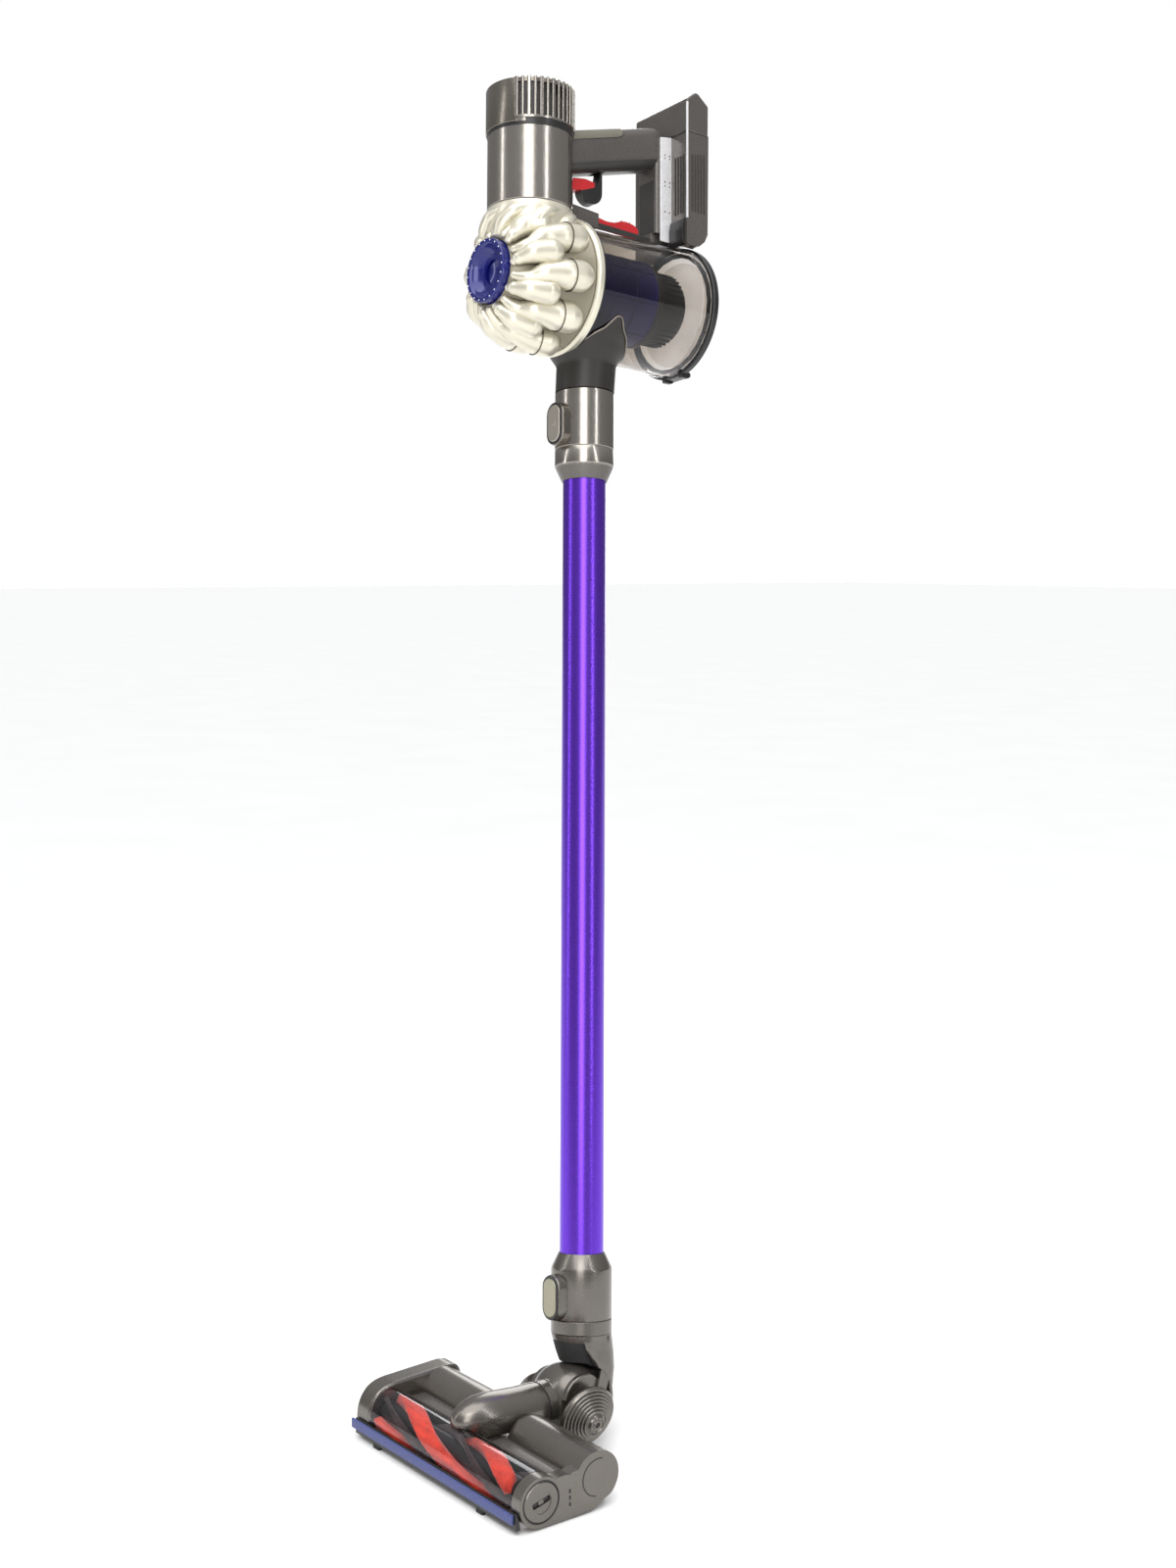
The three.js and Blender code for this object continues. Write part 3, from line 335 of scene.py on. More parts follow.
def piece(name, shape, place, mat, body, node=None, bevel=0.0, minus=(), sharp=38, slot=None):
    """Make a visible piece: cut the minus shapes out of it, bevel it, and let it ride on its body."""
    o = bpy.data.objects.new(name, raw_mesh(name, shape, place))
    scene.collection.objects.link(o)
    for tool in minus:
        cutter = bpy.data.objects.new("cutter", raw_mesh("cutter", tool, place))
        scene.collection.objects.link(cutter)
        mod = o.modifiers.new("cut", "BOOLEAN")
        mod.object, mod.operation, mod.solver = cutter, "DIFFERENCE", "EXACT"
        bpy.context.view_layer.update()
        made = bpy.data.meshes.new_from_object(o.evaluated_get(bpy.context.evaluated_depsgraph_get()))
        o.modifiers.clear()
        o.data = made
        bpy.data.objects.remove(cutter)
    o.data.materials.clear()
    o.data.materials.append(mat)
    for p in o.data.polygons:
        p.use_smooth = True
    o.data.set_sharp_from_angle(angle=radians(sharp))
    if bevel:
        mod = o.modifiers.new("bevel", "BEVEL")
        mod.width, mod.segments, mod.limit_method = bevel * 0.001, 3, "ANGLE"
        mod.angle_limit = radians(sharp)
        mod.harden_normals = True
    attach(o, body)
    if node:
        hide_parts(node)


def on_unit(name, shape, mat, node=None, **more):
    piece(name, shape, WAND, mat, "main", node, **more)


def on_head(name, shape, mat, node=None, **more):
    piece(name, shape, HEAD, mat, "head", node, **more)


# ------------ wand
CUFF_R = 27.2


def pill(half, tall, z, y0, y1, n=14):
    return slab(rrect(-half, z - tall, half, z + tall, half - 0.4, n), y0, y1, "y")


def release(name, node, body, carrier, z, frame_mat, face_mat):
    """A release button at height z, with the boss and the dark well round it."""
    piece(name + "_boss", pill(12, 20, z, -34.6, -18), WAND, frame_mat, carrier, None, 2.4, slot="housing",
          sharp=60)
    piece(name + "_well", pill(11.2, 19.2, z, -35.0, -30), WAND, BLACK, carrier, None, 0.4, slot="black")
    piece(name, pill(8.9, 16.9, z, -35.9, -32.2), WAND, face_mat, body, node, 1.0, slot="nickel", sharp=60)
    mark = slab(rrect(-3.2, z - 2.2, 3.2, z + 2.2, 2.1), -36.05, -35.5, "y")
    piece(name + "_dot", mark, WAND, face_mat, body, None, 0.3, slot="nickel")


piece("tube", ring(19.6, 18.2, 112, 846, seg=128), WAND, PURPLE, "wand", "wand_tube")
piece("lower_cuff", lathe([(19.95, 134), (20.6, 134), (21.2, 133), (26.4, 122.4), (27.1, 120.6), (CUFF_R, 119.5),
      (CUFF_R, 77.4), (26.8, 76.7), (21.6, 76.6), (21.6, 108), (19.95, 108)], seg=128), WAND, HOUSING, "wand",
      "wand_lower_cuff", sharp=30)
piece("upper_cuff", lathe([(19.95, 830), (20.6, 830), (21.2, 831), (26.4, 842), (27.1, 843.6), (CUFF_R, 845),
      (CUFF_R, 858), (26.8, 858.7), (21.2, 858.7), (21.2, 886), (17, 886), (17, 847), (19.95, 847)], seg=128),
      WAND, NICKEL, "wand", "wand_upper_cuff", sharp=30)
piece("taper_shade", lathe([(19.9, 829.9), (20.75, 829.9), (26.5, 842.2), (26.9, 843.2), (26.4, 843.4),
      (20.3, 830.6)], seg=96), WAND, SHELL, "wand", sharp=30, slot="housing")
release("lower_button_cap", "lower_release_button", "lower_button", "wand", 96.6, HOUSING, OLIVE)
release("upper_button_cap", "upper_release_button", "upper_button", "main", 879.5, SATIN,
        BUTTON_NICKEL)

# ------------ inlet collar and saddle
BIN = (0, 0, 1006.5)
BIN_R, BIN_FRONT = 59.2, -24


on_unit("collar", lathe([(26.8, 859), (CUFF_R, 859.5), (CUFF_R, 911.2), (26.7, 911.9), (17, 912), (17, 887),
      (21.5, 887), (21.5, 859)], seg=128), NICKEL, "inlet_collar", sharp=30)


def saddle():
    """The flared duct up to the bin, and its upper edge."""
    foot = 912.3
    flare = [(foot, 27.1), (937, 27.4), (951.6, 36), (964, 43.6), (975, 50.4), (990, 58)]

    def radius(z):
        for (z0, r0), (z1, r1) in zip(flare, flare[1:]):
            if z <= z1:
                f = (z - z0) / (z1 - z0)
                f = f * f * (3 - 2 * f) * 0.35 + f * 0.65
                return r0 + (r1 - r0) * f
        return flare[-1][1]
    n, rows = 128, 30
    verts, faces = [], []
    for i in range(n):
        a = 2 * pi * i / n
        top = 913.0
        while top < 989:
            r = radius(top)
            if hypot(r * cos(a), top - BIN[2]) < BIN_R - 0.3:
                break
            top += 0.2
        peak = 976.0
        top = peak - 9 * log(1 + exp((peak - top) / 9 + 0.1)) if top > 930 else top
        for j in range(rows + 1):
            z = foot + (top - foot) * j / rows
            r = radius(z)
            verts.append(Vector((r * cos(a), 1.5 * min(1, (z - foot) / 25) + r * sin(a), z)))
    for i in range(n):
        k = (i + 1) % n
        for j in range(rows):
            faces.append((i * (rows + 1) + j, k * (rows + 1) + j, k * (rows + 1) + j + 1, i * (rows + 1) + j + 1))
    edge = [verts[i * (rows + 1) + rows] for i in range(n)]
    return (verts, faces), edge


shape, edge = saddle()
on_unit("saddle", shape, SATIN_BLACK, "inlet_duct", slot="black", sharp=60)
start = next(i for i, p in enumerate(edge) if p.y <= BIN_FRONT)
order = [p for p in edge[start:] + edge[:start] if p.y > BIN_FRONT]
step = max(1, len(order) // 36)
bead = order[::step] + [order[-1]]
on_unit("saddle_bead", sweep([(p.x * 1.004, p.y, p.z - 0.6) for p in bead], [1.0] * len(bead), 10, 110), SATIN,
      slot="housing", sharp=60)

# ------------ motor
MOTOR = (0, -63.3, 0)
MOTOR_R, CAP_R = 39, 40.6
on_unit("motor_shell", lathe([(0, 1070), (38.6, 1070), (MOTOR_R, 1070.6), (MOTOR_R, 1138.6), (38.4, 1139.4),
      (36, 1139.6), (36, 1073), (0, 1073)], at=MOTOR, seg=160), NICKEL, "motor_housing", sharp=30)
cap_from, cap_to = -54.0, 128.0     # degrees; the ribbed part of the cap
cap_span = cap_to - cap_from
on_unit("cap_smooth", lathe([(36.8, 1140), (40.2, 1140), (CAP_R, 1140.6), (CAP_R, 1179.6), (40.2, 1180.6),
      (39.4, 1181), (36.8, 1181)], at=MOTOR, seg=110, start=cap_to, sweep=360 - cap_span), SATIN, "motor_end_cap",
      sharp=30)
inner = lathe([(35.8, 1140.4), (38.6, 1140.4), (38.6, 1166.5), (37.6, 1167), (37.6, 1168.5), (36.6, 1169),
               (36.6, 1180.2), (35.8, 1180.2)], at=MOTOR, seg=110, start=cap_from, sweep=cap_span)
on_unit("cap_inner", inner, SATIN_BLACK, slot="housing", sharp=30)
on_unit("cap_slots", lathe([(36.5, 1168.4), (37.1, 1168.4), (37.1, 1180.4), (36.5, 1180.4)], at=MOTOR, seg=110,
      start=cap_from + 2, sweep=cap_span - 4), BLACK, slot="black")
ribs = []
gaps = 22
for i in range(gaps + 1):
    a = cap_from + cap_span * i / gaps
    width = 3.4 if i % 2 == 0 else 2.6
    bar = slab(soften([(36.4, -width / 2), (40.9, -width / 2), (40.9, width / 2), (36.4, width / 2)], 0.9, 3),
               1145, 1181.3)
    ribs.append(moved(bar, turned(a, "Z", MOTOR)))
on_unit("cap_ribs", together(*ribs), NICKEL, bevel=0.5, slot="nickel")
on_unit("cap_foot", lathe([(36, 1140), (39.3, 1140), (39.3, 1143.2), (40.4, 1143.6), (40.4, 1145.6),
      (39.9, 1146.2), (36, 1146.2)], at=MOTOR, seg=110, start=cap_from, sweep=cap_span), NICKEL, sharp=30,
      slot="housing")
on_unit("cap_shadow", lathe([(38.2, 1137.2), (39.35, 1137.2), (39.35, 1140.2), (38.2, 1140.2)], at=MOTOR,
      seg=160), BLACK, slot="black")
on_unit("cap_crescent", lathe([(38.9, 1138.6), (39.4, 1139), (39.7, 1143.4), (38.9, 1143.4)], at=MOTOR, seg=60,
      start=-42, sweep=168), BLACK, slot="black")
on_unit("cap_top", lathe([(9.9, 1178), (10.3, 1180.4), (34, 1180.9), (38.8, 1180.6), (38.8, 1177), (9.9, 1177)],
      at=MOTOR, seg=128), SATIN, sharp=30, slot="housing")
vents = spread(slab(rrect(15, -1.3, 31, 1.3, 1.2, 5), 1180.6, 1181.15), [360 * k / 14 for k in range(14)], "Z", MOTOR)
on_unit("cap_vents", together(*vents), BLACK, slot="black")
piece("boost_button", lathe([(0, 1176), (9.6, 1176), (9.6, 1180.6), (9.1, 1181.3), (7.4, 1181.8), (4, 1181.3),
      (0, 1181.1)], at=MOTOR, seg=64), WAND, BLUE, "max_switch", "max_button", slot="blue", sharp=30)

# ------------ cyclones, filter and bin
def polar(r, y, angle):
    """A point at a radius and an angle from the top, about the bin's axis."""
    a = radians(angle)
    return Vector((r * sin(a), y, BIN[2] + r * cos(a)))


core = lathe([(13.2, -102.9), (30, -102.9), (30, -105.4), (33, -102.5), (43, -84), (48, -66), (52, -50), (57, -38),
              (60, -33), (13.2, -33)], "y", BIN, 96)
# the core between the cones in darker pearl: painted shade in the gaps
on_unit("cyclone_core", core, PEARL_PAINTED_SHADE, slot="pearl", sharp=50)
cones, seams = [], []
for i in range(9):
    rear, front = 40 * (i + 0.5), 40 * i
    top_r = 1.0 if 42 < rear < 318 else 0.80
    w = 9.0                         # degrees that a cone's neck twists
    cones.append(sweep([polar(34, -103.2, rear + w), polar(43 * top_r ** 0.3, -93, rear + w * 0.9),
        polar(50 * top_r, -78, rear), polar(53.5 * top_r, -60, rear - 2), polar(54 * top_r, -48, rear - 3)],
        [3.6, 6.2, 10.4, 13.6, 14.4], 26, 34))
    top_f = 1.0 if 30 < front < 330 else 0.82
    cones.append(sweep([polar(33.8, -104.6, front + w), polar(38 * top_f ** 0.3, -101.5, front + w * 0.6),
                        polar(47.5 * top_f, -91, front), polar(51.5 * top_f, -76, front - 2)],
                       [3.6, 6.0, 9.8, 12.0], 26, 30))
    if top_r == 1.0:
        p, q = polar(53.5, -58, rear - 2), polar(54, -48, rear - 3)
        d = (q - p).normalized()
        turn = d.to_track_quat("Z", "Y").to_matrix().to_4x4()
        seams.append(moved(lathe([(13.6, -0.5), (14.75, -0.45), (14.75, 0.45), (13.6, 0.5)], seg=48),
                           Matrix.Translation(p) @ turn))
on_unit("cyclones", together(*cones), PEARL, "cyclone_pack", sharp=70)
on_unit("cyclone_seams", together(*seams), SATIN, slot="housing")
crown = lathe([(0, 1040), (40, 1040), (40, 1062), (39.6, 1066), (38.8, 1069.2), (37.8, 1069.7), (0, 1069.7)],
    at=MOTOR, seg=96)
on_unit("crown", crown, PEARL, slot="pearl", sharp=40)
swirl = []
for a in (-54, -12, 32, 78, 122):
    def on(r, z, extra):
        t = radians(a) + radians(extra)
        return r * sin(t), MOTOR[1] - r * cos(t), z
    swirl.append(sweep([on(39, 1041, -22), on(39.5, 1050, -14), on(38.6, 1058, 0), on(37.2, 1062, 16)],
                       [6.4, 7.4, 6.6, 3.6], 20, 24))
on_unit("crown_swirls", together(*swirl), PEARL, slot="pearl", sharp=70)
on_unit("rim_disc", lathe(soften([(13, -32), (60.8, -32), (63.2, -30), (63.2, -25), (13, -25)], 0.8), "y", BIN,
      144), PEARL, "cyclone_rim", sharp=30)
on_unit("rim_seam", lathe([(59, -25.1), (62.6, -25.1), (62.6, -23.6), (59, -23.6)], "y", BIN, 128), BLACK,
      slot="black")
piece("filter_face", lathe([(0, -97.3), (3, -97.4), (6, -97.9), (10, -99.2), (14, -101.2), (18, -104.0),
      (21, -107.0), (23, -110), (23.8, -112.2), (24.6, -112.8), (28, -112.8), (28.8, -112), (29, -110.8),
      (29, -103.4), (11.5, -103.4), (11.5, -94), (0, -94)], "y", BIN, 128), WAND, BLUE, "filter", "filter_cap",
      slot="blue", sharp=35)
knobs = []
for k in range(20):
    p = polar(26.8, -112.8, 18 * k)
    knobs.append(moved(lathe([(0, -0.5), (0.55, -0.35), (0.7, 0), (0.55, 0.3), (0, 0.3)], "y", seg=10),
                       Matrix.Translation(p)))
piece("filter_grip", together(*knobs), WAND, SILVER_AND_HIGHLIGHT, "filter", slot="silver_strip")

on_unit("bin_cup", lathe([(BIN_R, BIN_FRONT), (59.6, 103), (57.6, 103), (57.2, BIN_FRONT)], "y", BIN, 128),
      BIN_CLEAR, "bin", slot="clear", minus=[rod(16, 930, 962, edge=0.1)])
on_unit("shroud_screen", lathe([(39.4, -24.7), (40, -24.2), (40, 55.4), (39.4, 56), (38.4, 56), (38.4, -24.7)],
      "y", BIN, 128), MESH_BLUE, "shroud", sharp=30)
bands = [ring(40.5, 39.6, y, y + 1.4, "y", BIN, 96, 0.3) for y in (-22, 4, 30, 53.6)]
bands += spread(block(-0.7, 0.7, -22, 54, 39.6, 40.6), range(15, 375, 45), "Y", BIN)
on_unit("shroud_bands", together(*bands), BLUE, slot="blue")
on_unit("cone", lathe([(0, 56.3), (39.4, 56.3), (40, 57), (40, 60.4), (38.6, 62.4), (34.4, 66), (33, 88),
      (32, 92.5), (29.5, 96), (27, 97), (0, 97)], "y", BIN, 96), BLACK, "dust_cone", sharp=30)
fins = spread(block(-0.45, 0.45, 67, 91, 32.2, 34.4), range(0, 360, 10), "Y", BIN)
on_unit("cone_fins", together(*fins), SATIN_BLACK, slot="black")
on_unit("rim_band", lathe(soften([(58.4, 103.4), (61.6, 103.4), (62.4, 104.4), (62.4, 109), (61.4, 110),
      (58.4, 110)], 0.5), "y", BIN, 144), BLACK, "bin_rim", sharp=30)
lug = slab(soften([(103.4, 942.6), (112, 942.6), (114.8, 944.5), (114.8, 948), (108, 950), (103.4, 950)], 1.4),
    -14, -9.6, "x")
on_unit("hinge_lugs", together(lug, moved(lug, Matrix.Translation((24.4, 0, 0)))), BLACK, bevel=0.4,
      slot="black")
piece("door_disc", lathe([(0, 105), (55.5, 105), (57.9, 105.4), (57.9, 108.2), (55, 108.6), (50, 110.4), (20, 112),
      (0, 112.2), (0, 110.9), (20, 110.7), (49.5, 109)], "y", BIN, 128), WAND, BIN_CLEAR, "door", "bin_door",
      slot="clear", sharp=40)
piece("door_ear", slab(soften([(108.4, 944.4), (115, 944.4), (115, 949), (109, 952.5), (107, 952.5)], 0.8), -8.6,
      8.6, "x"), WAND, BLACK, "door", bevel=0.4, slot="black")
on_unit("bin_lip", lathe([(59.6, 92), (60.5, 93), (60.8, 103.3), (59.6, 103.3)], "y", BIN, 128), BIN_CLEAR,
      slot="clear")

# ------------ handle
GRIP = WAND @ Matrix.Translation((0, -23.5, 1133.5)) @ Matrix.Rotation(radians(15.3), 4, "X")
GRIP_HALF, GRIP_TALL = 14, 19.5     # half of its width and of its height


def grip_body():
    """The grip bar, along Y, with a rounded far end."""
    rows = [(-14, 1.0), (0, 1.0), (30, 0.985), (62, 0.985), (90, 1.0), (104, 1.0), (109.5, 0.97), (112.4, 0.9),
            (113, 0.8)]
    verts = []
    for y, s in rows:
        outline = rrect(-GRIP_HALF * s, -GRIP_TALL * s, GRIP_HALF * s, GRIP_TALL * s, 10 * s, 12)
        verts += [Vector((u, y, v)) for u, v in outline]
    n, last = len(outline), len(verts) - 1
    return verts, loops(len(rows), n) + [tuple(range(n)), tuple(range(last, last - n, -1))]


motor_room = rod(MOTOR_R + 0.35, 1060, 1139.9, at=MOTOR, seg=96, edge=0.1)
cap_room = rod(CAP_R + 0.35, 1139.7, 1190, at=MOTOR, seg=96, edge=0.1)
to_grip = GRIP.inverted() @ WAND
shell_cuts = [moved(motor_room, to_grip), moved(cap_room, to_grip)]
stop_cut = moved(block(-6.2, 6.2, 5.5, 18.5, 1108, 1136), to_grip)
piece("grip", grip_body(), GRIP, SHELL, "main", "handle_frame", sharp=50, minus=[*shell_cuts, stop_cut])


def grip_skin(low, high, y0, y1, lift, round_end):
    """A thin skin over part of the grip's outline, between two heights, with a rounded far end."""
    outline = rrect(-GRIP_HALF - lift, -GRIP_TALL - lift, GRIP_HALF + lift, GRIP_TALL + lift, 10.2, 14)
    side = 1 if high > 0 else -1
    band = sorted([p for p in outline if low <= p[1] <= high], key=lambda p: atan2(p[0], side * p[1]))
    verts, faces = [], []
    n = len(band)
    for i, (u, v) in enumerate(band):
        f = abs(2 * i / (n - 1) - 1)
        far = y1 - round_end * (1 - sqrt(max(0.0, 1 - max(0.0, (f - 0.55) / 0.45) ** 2)))
        iu, iv = u * (1 - 1.6 / GRIP_HALF), v * (1 - 1.6 / GRIP_TALL)
        verts += [Vector((u, y0, v)), Vector((u, far, v)), Vector((iu, far, iv)), Vector((iu, y0, iv))]
    for i in range(n - 1):
        a, b = 4 * i, 4 * i + 4
        faces += [(a, a + 1, b + 1, b), (a + 1, a + 2, b + 2, b + 1), (a + 2, a + 3, b + 3, b + 2), (a + 3, a, b,
            b + 3)]
    faces += [(0, 3, 2, 1), (4 * n - 4, 4 * n - 3, 4 * n - 2, 4 * n - 1)]
    return verts, faces


piece("grip_strip", grip_skin(8.5, 99, -12, 64, 0.55, 9), GRIP, INLAY, "main", "grip_inlay", sharp=50,
      minus=shell_cuts)
piece("grip_line", grip_skin(7.6, 99, -12, 65, 0.25, 9.4), GRIP, BLACK, "main", sharp=50, slot="black",
      minus=shell_cuts)
# the grip's underside, painted darker: painted shade under the grip
piece("grip_underside_painted_shade", grip_skin(-99, -11.5, -12, 100, 0.45, 6), GRIP, DARKGRIP_AND_SHADE, "main", slot="black", sharp=50,
      minus=[shell_cuts[0], stop_cut])
post = slab(rrect(-13.9, 73, 13.9, 90.2, 3.4), 1076.5, 1158)
on_unit("post", post, SHELL, slot="housing", bevel=0.8)
on_unit("post_shade", slab(rrect(-11.5, 72.5, 11.5, 75, 1.2), 1078, 1128), DARKGRIP_AND_SHADE, slot="black",
      bevel=0.3)
plate = slab(soften([(77.4, 1069), (77.4, 1169.5), (92.6, 1172), (92.6, 1069)], 0.8), 13.95, 15.6, "x")
on_unit("post_plate", plate, SILVER_AND_HIGHLIGHT, "side_plate", bevel=0.35)
dots = []
for z in (1153, 1150, 1127, 1123, 1098):
    for y in (82.5, 88):
        dots.append(lathe([(0, 15.5), (0.8, 15.5), (0.7, 15.85), (0, 15.9)], "x", (0, y, z), 12))
on_unit("plate_dots", together(*dots), SATIN, slot="housing")

lever = slab(soften([(-22.4, 1099), (-22.4, 1110.8), (-4, 1113.4), (7, 1112), (7, 1107), (-6, 1102)], 1.4), -5.6,
    5.6, "x")
piece("trigger", lever, WAND, RED, "trigger", "trigger_lever", bevel=1.0, slot="red")
stop = soften(arc(3.4, 1103.2, 12.2, 150, 360, 24) + [(15.6, 1124.5), (13.4, 1124.5), (11.5, 1112), (4, 1109)], 0.5, 2)
piece("finger_stop", slab(stop, -5.3, 5.3, "x"), WAND, BLACK, "trigger", "trigger_pad", bevel=0.9, slot="black")
# a bright strip on the finger stop's edge: painted highlight
piece("finger_stop_painted_highlight", slab(soften([(14.9, 1104), (15.9, 1104), (15.9, 1124), (14.9, 1124)], 0.3, 2), -4.8, 4.8,
      "x"), WAND, SILVER_AND_HIGHLIGHT, "trigger", slot="silver_strip")

rail = slab(soften([(-23, 1066.7), (89.8, 1066.7), (89.8, 1075.5), (70.5, 1077), (70.5, 1069.6), (9, 1069.6),
    (9, 1082.1), (-23, 1085)], 0.8), -9, 9, "x")
on_unit("rail", rail, SHELL, "latch_rail", bevel=0.8, minus=[motor_room])
on_unit("rail_bed", slab(soften([(-20, 1064.4), (100, 1064.4), (96, 1067.4), (-20, 1067.4)], 0.8), -11.5, 11.5,
      "x"), DARKGRIP_AND_SHADE, slot="black", bevel=0.6)
sides = [slab(soften([(9.4, 1067), (70.2, 1067), (70.2, 1071.5), (9.4, 1073.4)], 0.5, 3), x - 0.5, x + 0.5, "x")
         for x in (-8.5, 8.5)]
on_unit("rail_sides", together(*sides), DARKGRIP_AND_SHADE, slot="black", bevel=0.2)
slide = soften([(9.8, 1070), (57.2, 1070), (57.2, 1077), (55, 1079.4), (50, 1081.2), (43, 1081.8), (36, 1081),
    (29, 1078.4), (20, 1077.6), (9.8, 1079.2)], 1.6)
piece("slider_red", slab(slide, -7.4, 7.4, "x"), WAND, RED, "slider", "bin_release_slider", bevel=0.9, slot="red")
ridges = [slab(soften([(y, 1080.6), (y + 1.1, 1080.6), (y + 1.1, 1082.5), (y, 1082.5)], 0.3, 2), -6.2, 6.2, "x")
          for y in (38, 41, 44, 47)]
piece("slider_ridges", together(*ridges), WAND, RED, "slider", slot="red")
piece("slider_latch", slab(soften([(57.4, 1071), (60.1, 1071), (60.1, 1074.6), (58, 1077.4)], 0.5), -2.6, 2.6,
      "x"), WAND, STEEL, "slider", bevel=0.3, slot="steel")

# ------------ battery
outline = [(90.4, 1064), (90.4, 1203), (100.5, 1211), (104, 1211), (117, 1201), (115.5, 1076), (112, 1068.5),
    (105, 1062.6), (101, 1062), (94, 1062)]
front_of_bin = rod(63.3, 60, 140, "y", BIN, 96, 0.1)


def battery_part(low, high, half):
    """The battery between two heights, across half on each side."""
    pts = []
    for (y0, z0), (y1, z1) in zip(outline, outline[1:] + outline[:1]):
        if low <= z0 <= high:
            pts.append((y0, z0))
        for z in (low, high):
            if (z0 - z) * (z1 - z) < 0:
                f = (z - z0) / (z1 - z0)
                pts.append((y0 + (y1 - y0) * f, z))
    cy, cz = sum(p[0] for p in pts) / len(pts), sum(p[1] for p in pts) / len(pts)
    return slab(sorted(pts, key=lambda p: -atan2(p[1] - cz, p[0] - cy)), -half, half, "x")


on_unit("battery_body", battery_part(1000, 1171, 39), SHELL, "battery_case", bevel=1.8, minus=[front_of_bin])
on_unit("battery_cap", battery_part(1171.6, 1300, 39), SHELL, "battery_top", bevel=1.8)
on_unit("battery_seam", battery_part(1170.4, 1172.2, 38.4), BLACK, slot="black")
fins = []
for k in range(5):
    y = 96.5 + 3.6 * k
    fin = rrect(y - 0.7, 1095, y + 0.7, 1150 + 0.6 * k, 0.6, 5)
    fins += [slab(fin, 38.6, 39.7, "x"), slab(fin, -39.7, -38.6, "x")]
for k in range(4):
    x = 21.5 + 3.9 * k
    for side in (1, -1):
        fins.append(slab(rrect(side * x - 0.8, 1094, side * x + 0.8, 1150, 0.7, 5), 89.6, 90.9, "y"))
on_unit("battery_fins", together(*fins), DARKGRIP_AND_SHADE, slot="housing", bevel=0.3)
# a bright strip along the battery's front side edge: painted highlight
on_unit("battery_edge_painted_highlight", slab([(37.6, 90.1), (39.1, 90.1), (39.1, 91.6)], 1088, 1200), SILVER_AND_HIGHLIGHT,
      slot="silver_strip")
# a black piece on the battery's lower front chamfer: painted shadow
foot = soften([(87.2, 1066), (90.8, 1062.5), (90.8, 1088), (88.6, 1088), (86.6, 1078)], 1.0)
on_unit("battery_lower_chamfer_painted_shadow", slab(foot, 16.5, 36, "x"), BLACK, bevel=0.8, slot="black")

# ------------ neck
piece("neck_ring", lathe([(21.2, 76.3), (26.7, 76.3), (CUFF_R, 75.8), (CUFF_R, 65), (26.7, 64.2), (17, 64.2),
      (17, 102.6), (21.2, 102.6)], seg=128), WAND, HOUSING, "neck", "neck_collar", sharp=30)
CUFF_AXIS = (0, 15.1, 0)            # the wand's axis, in the neck's frame
# each row is a centre (y, z), the way it faces, and its half width, back and front depths
LOFT = [((15.1, 54.6), (1, 0), 26.8, 26.8, 26.8), ((15.2, 50), (1, -0.05), 26.5, 26.6, 26.0),
        ((15.6, 42), (0.98, -0.17), 26.4, 26.9, 23.0), ((17, 32), (0.93, -0.36), 26.6, 25.6, 15.5),
        ((19, 23), (0.85, -0.53), 26.2, 23.2, 8.0), ((22.5, 16.5), (0.88, -0.48), 24.6, 18.4, 3.0),
        ((25, 13.0), (0.9, -0.43), 22.8, 14.8, 1.0)]


def neck_shell():
    """The open shell that narrows from the collar to the arms."""
    verts, faces = [], []
    seg, rows = 72, 36
    for j in range(rows + 1):
        x = (len(LOFT) - 1) * j / rows
        i = min(int(x), len(LOFT) - 2)
        f = x - i
        f = f * f * (3 - 2 * f) * 0.3 + f * 0.7
        (p, d, a, b, e), (p2, d2, a2, b2, e2) = LOFT[i], LOFT[i + 1]
        mixed = [u + (v - u) * f for u, v in zip((*p, *d, a, b, e), (*p2, *d2, a2, b2, e2))]
        y0, z0, dy, dz, half, back, front = mixed
        for k in range(seg + 1):
            t = radians(-30 + 240 * k / seg)
            c, q = cos(t), sin(t)
            power = 1 - 0.34 * min(1, x / 3)
            u = copysign(abs(c) ** power, c) * half
            v = copysign(abs(q) ** power, q) * (back if q > 0 else front)
            verts.append(Vector((u, y0 + dy * v, z0 + dz * v)))
    n = seg + 1
    inner = []
    for j in range(rows + 1):
        for k in range(n):
            p = verts[j * n + k]
            mid = Vector((0, LOFT[0][0][0] + 4, p.z))
            inner.append(p + (mid - p).normalized() * 2.4)
    count = len(verts)
    verts += inner
    for j in range(rows):
        for k in range(seg):
            quad = (j * n + k, j * n + k + 1, (j + 1) * n + k + 1, (j + 1) * n + k)
            faces += [quad, tuple(count + i for i in reversed(quad))]
    for j in range(rows):
        for k in (0, seg):
            faces.append((j * n + k, (j + 1) * n + k, count + (j + 1) * n + k, count + j * n + k))
    for k in range(seg):
        for j in (0, rows):
            faces.append((j * n + k, j * n + k + 1, count + j * n + k + 1, count + j * n + k))
    return verts, faces


collar_low = lathe([(26.9, 54.7), (26.2, 51), (25.4, 48.6), (24.2, 48.6), (24.2, 54.7)], at=CUFF_AXIS, seg=96)
dome_room = lathe([(0, -60), (31.2, -60), (31.2, 60), (0, 60)], "x", seg=96)
piece("neck_shell", neck_shell(), NECK, HOUSING, "neck", "neck_frame", sharp=40, minus=[dome_room])
piece("neck_top_band", collar_low, NECK, HOUSING, "neck", slot="housing", sharp=40)
piece("neck_dark", lathe([(0, 54), (24.4, 54), (24.2, 49), (21.8, 40), (18.6, 31), (17.2, 27), (0, 27)],
      at=(0, 13.6, 0), seg=96), NECK, RUBBER, "neck", "neck_hose", slot="rubber", sharp=40, minus=[dome_room])


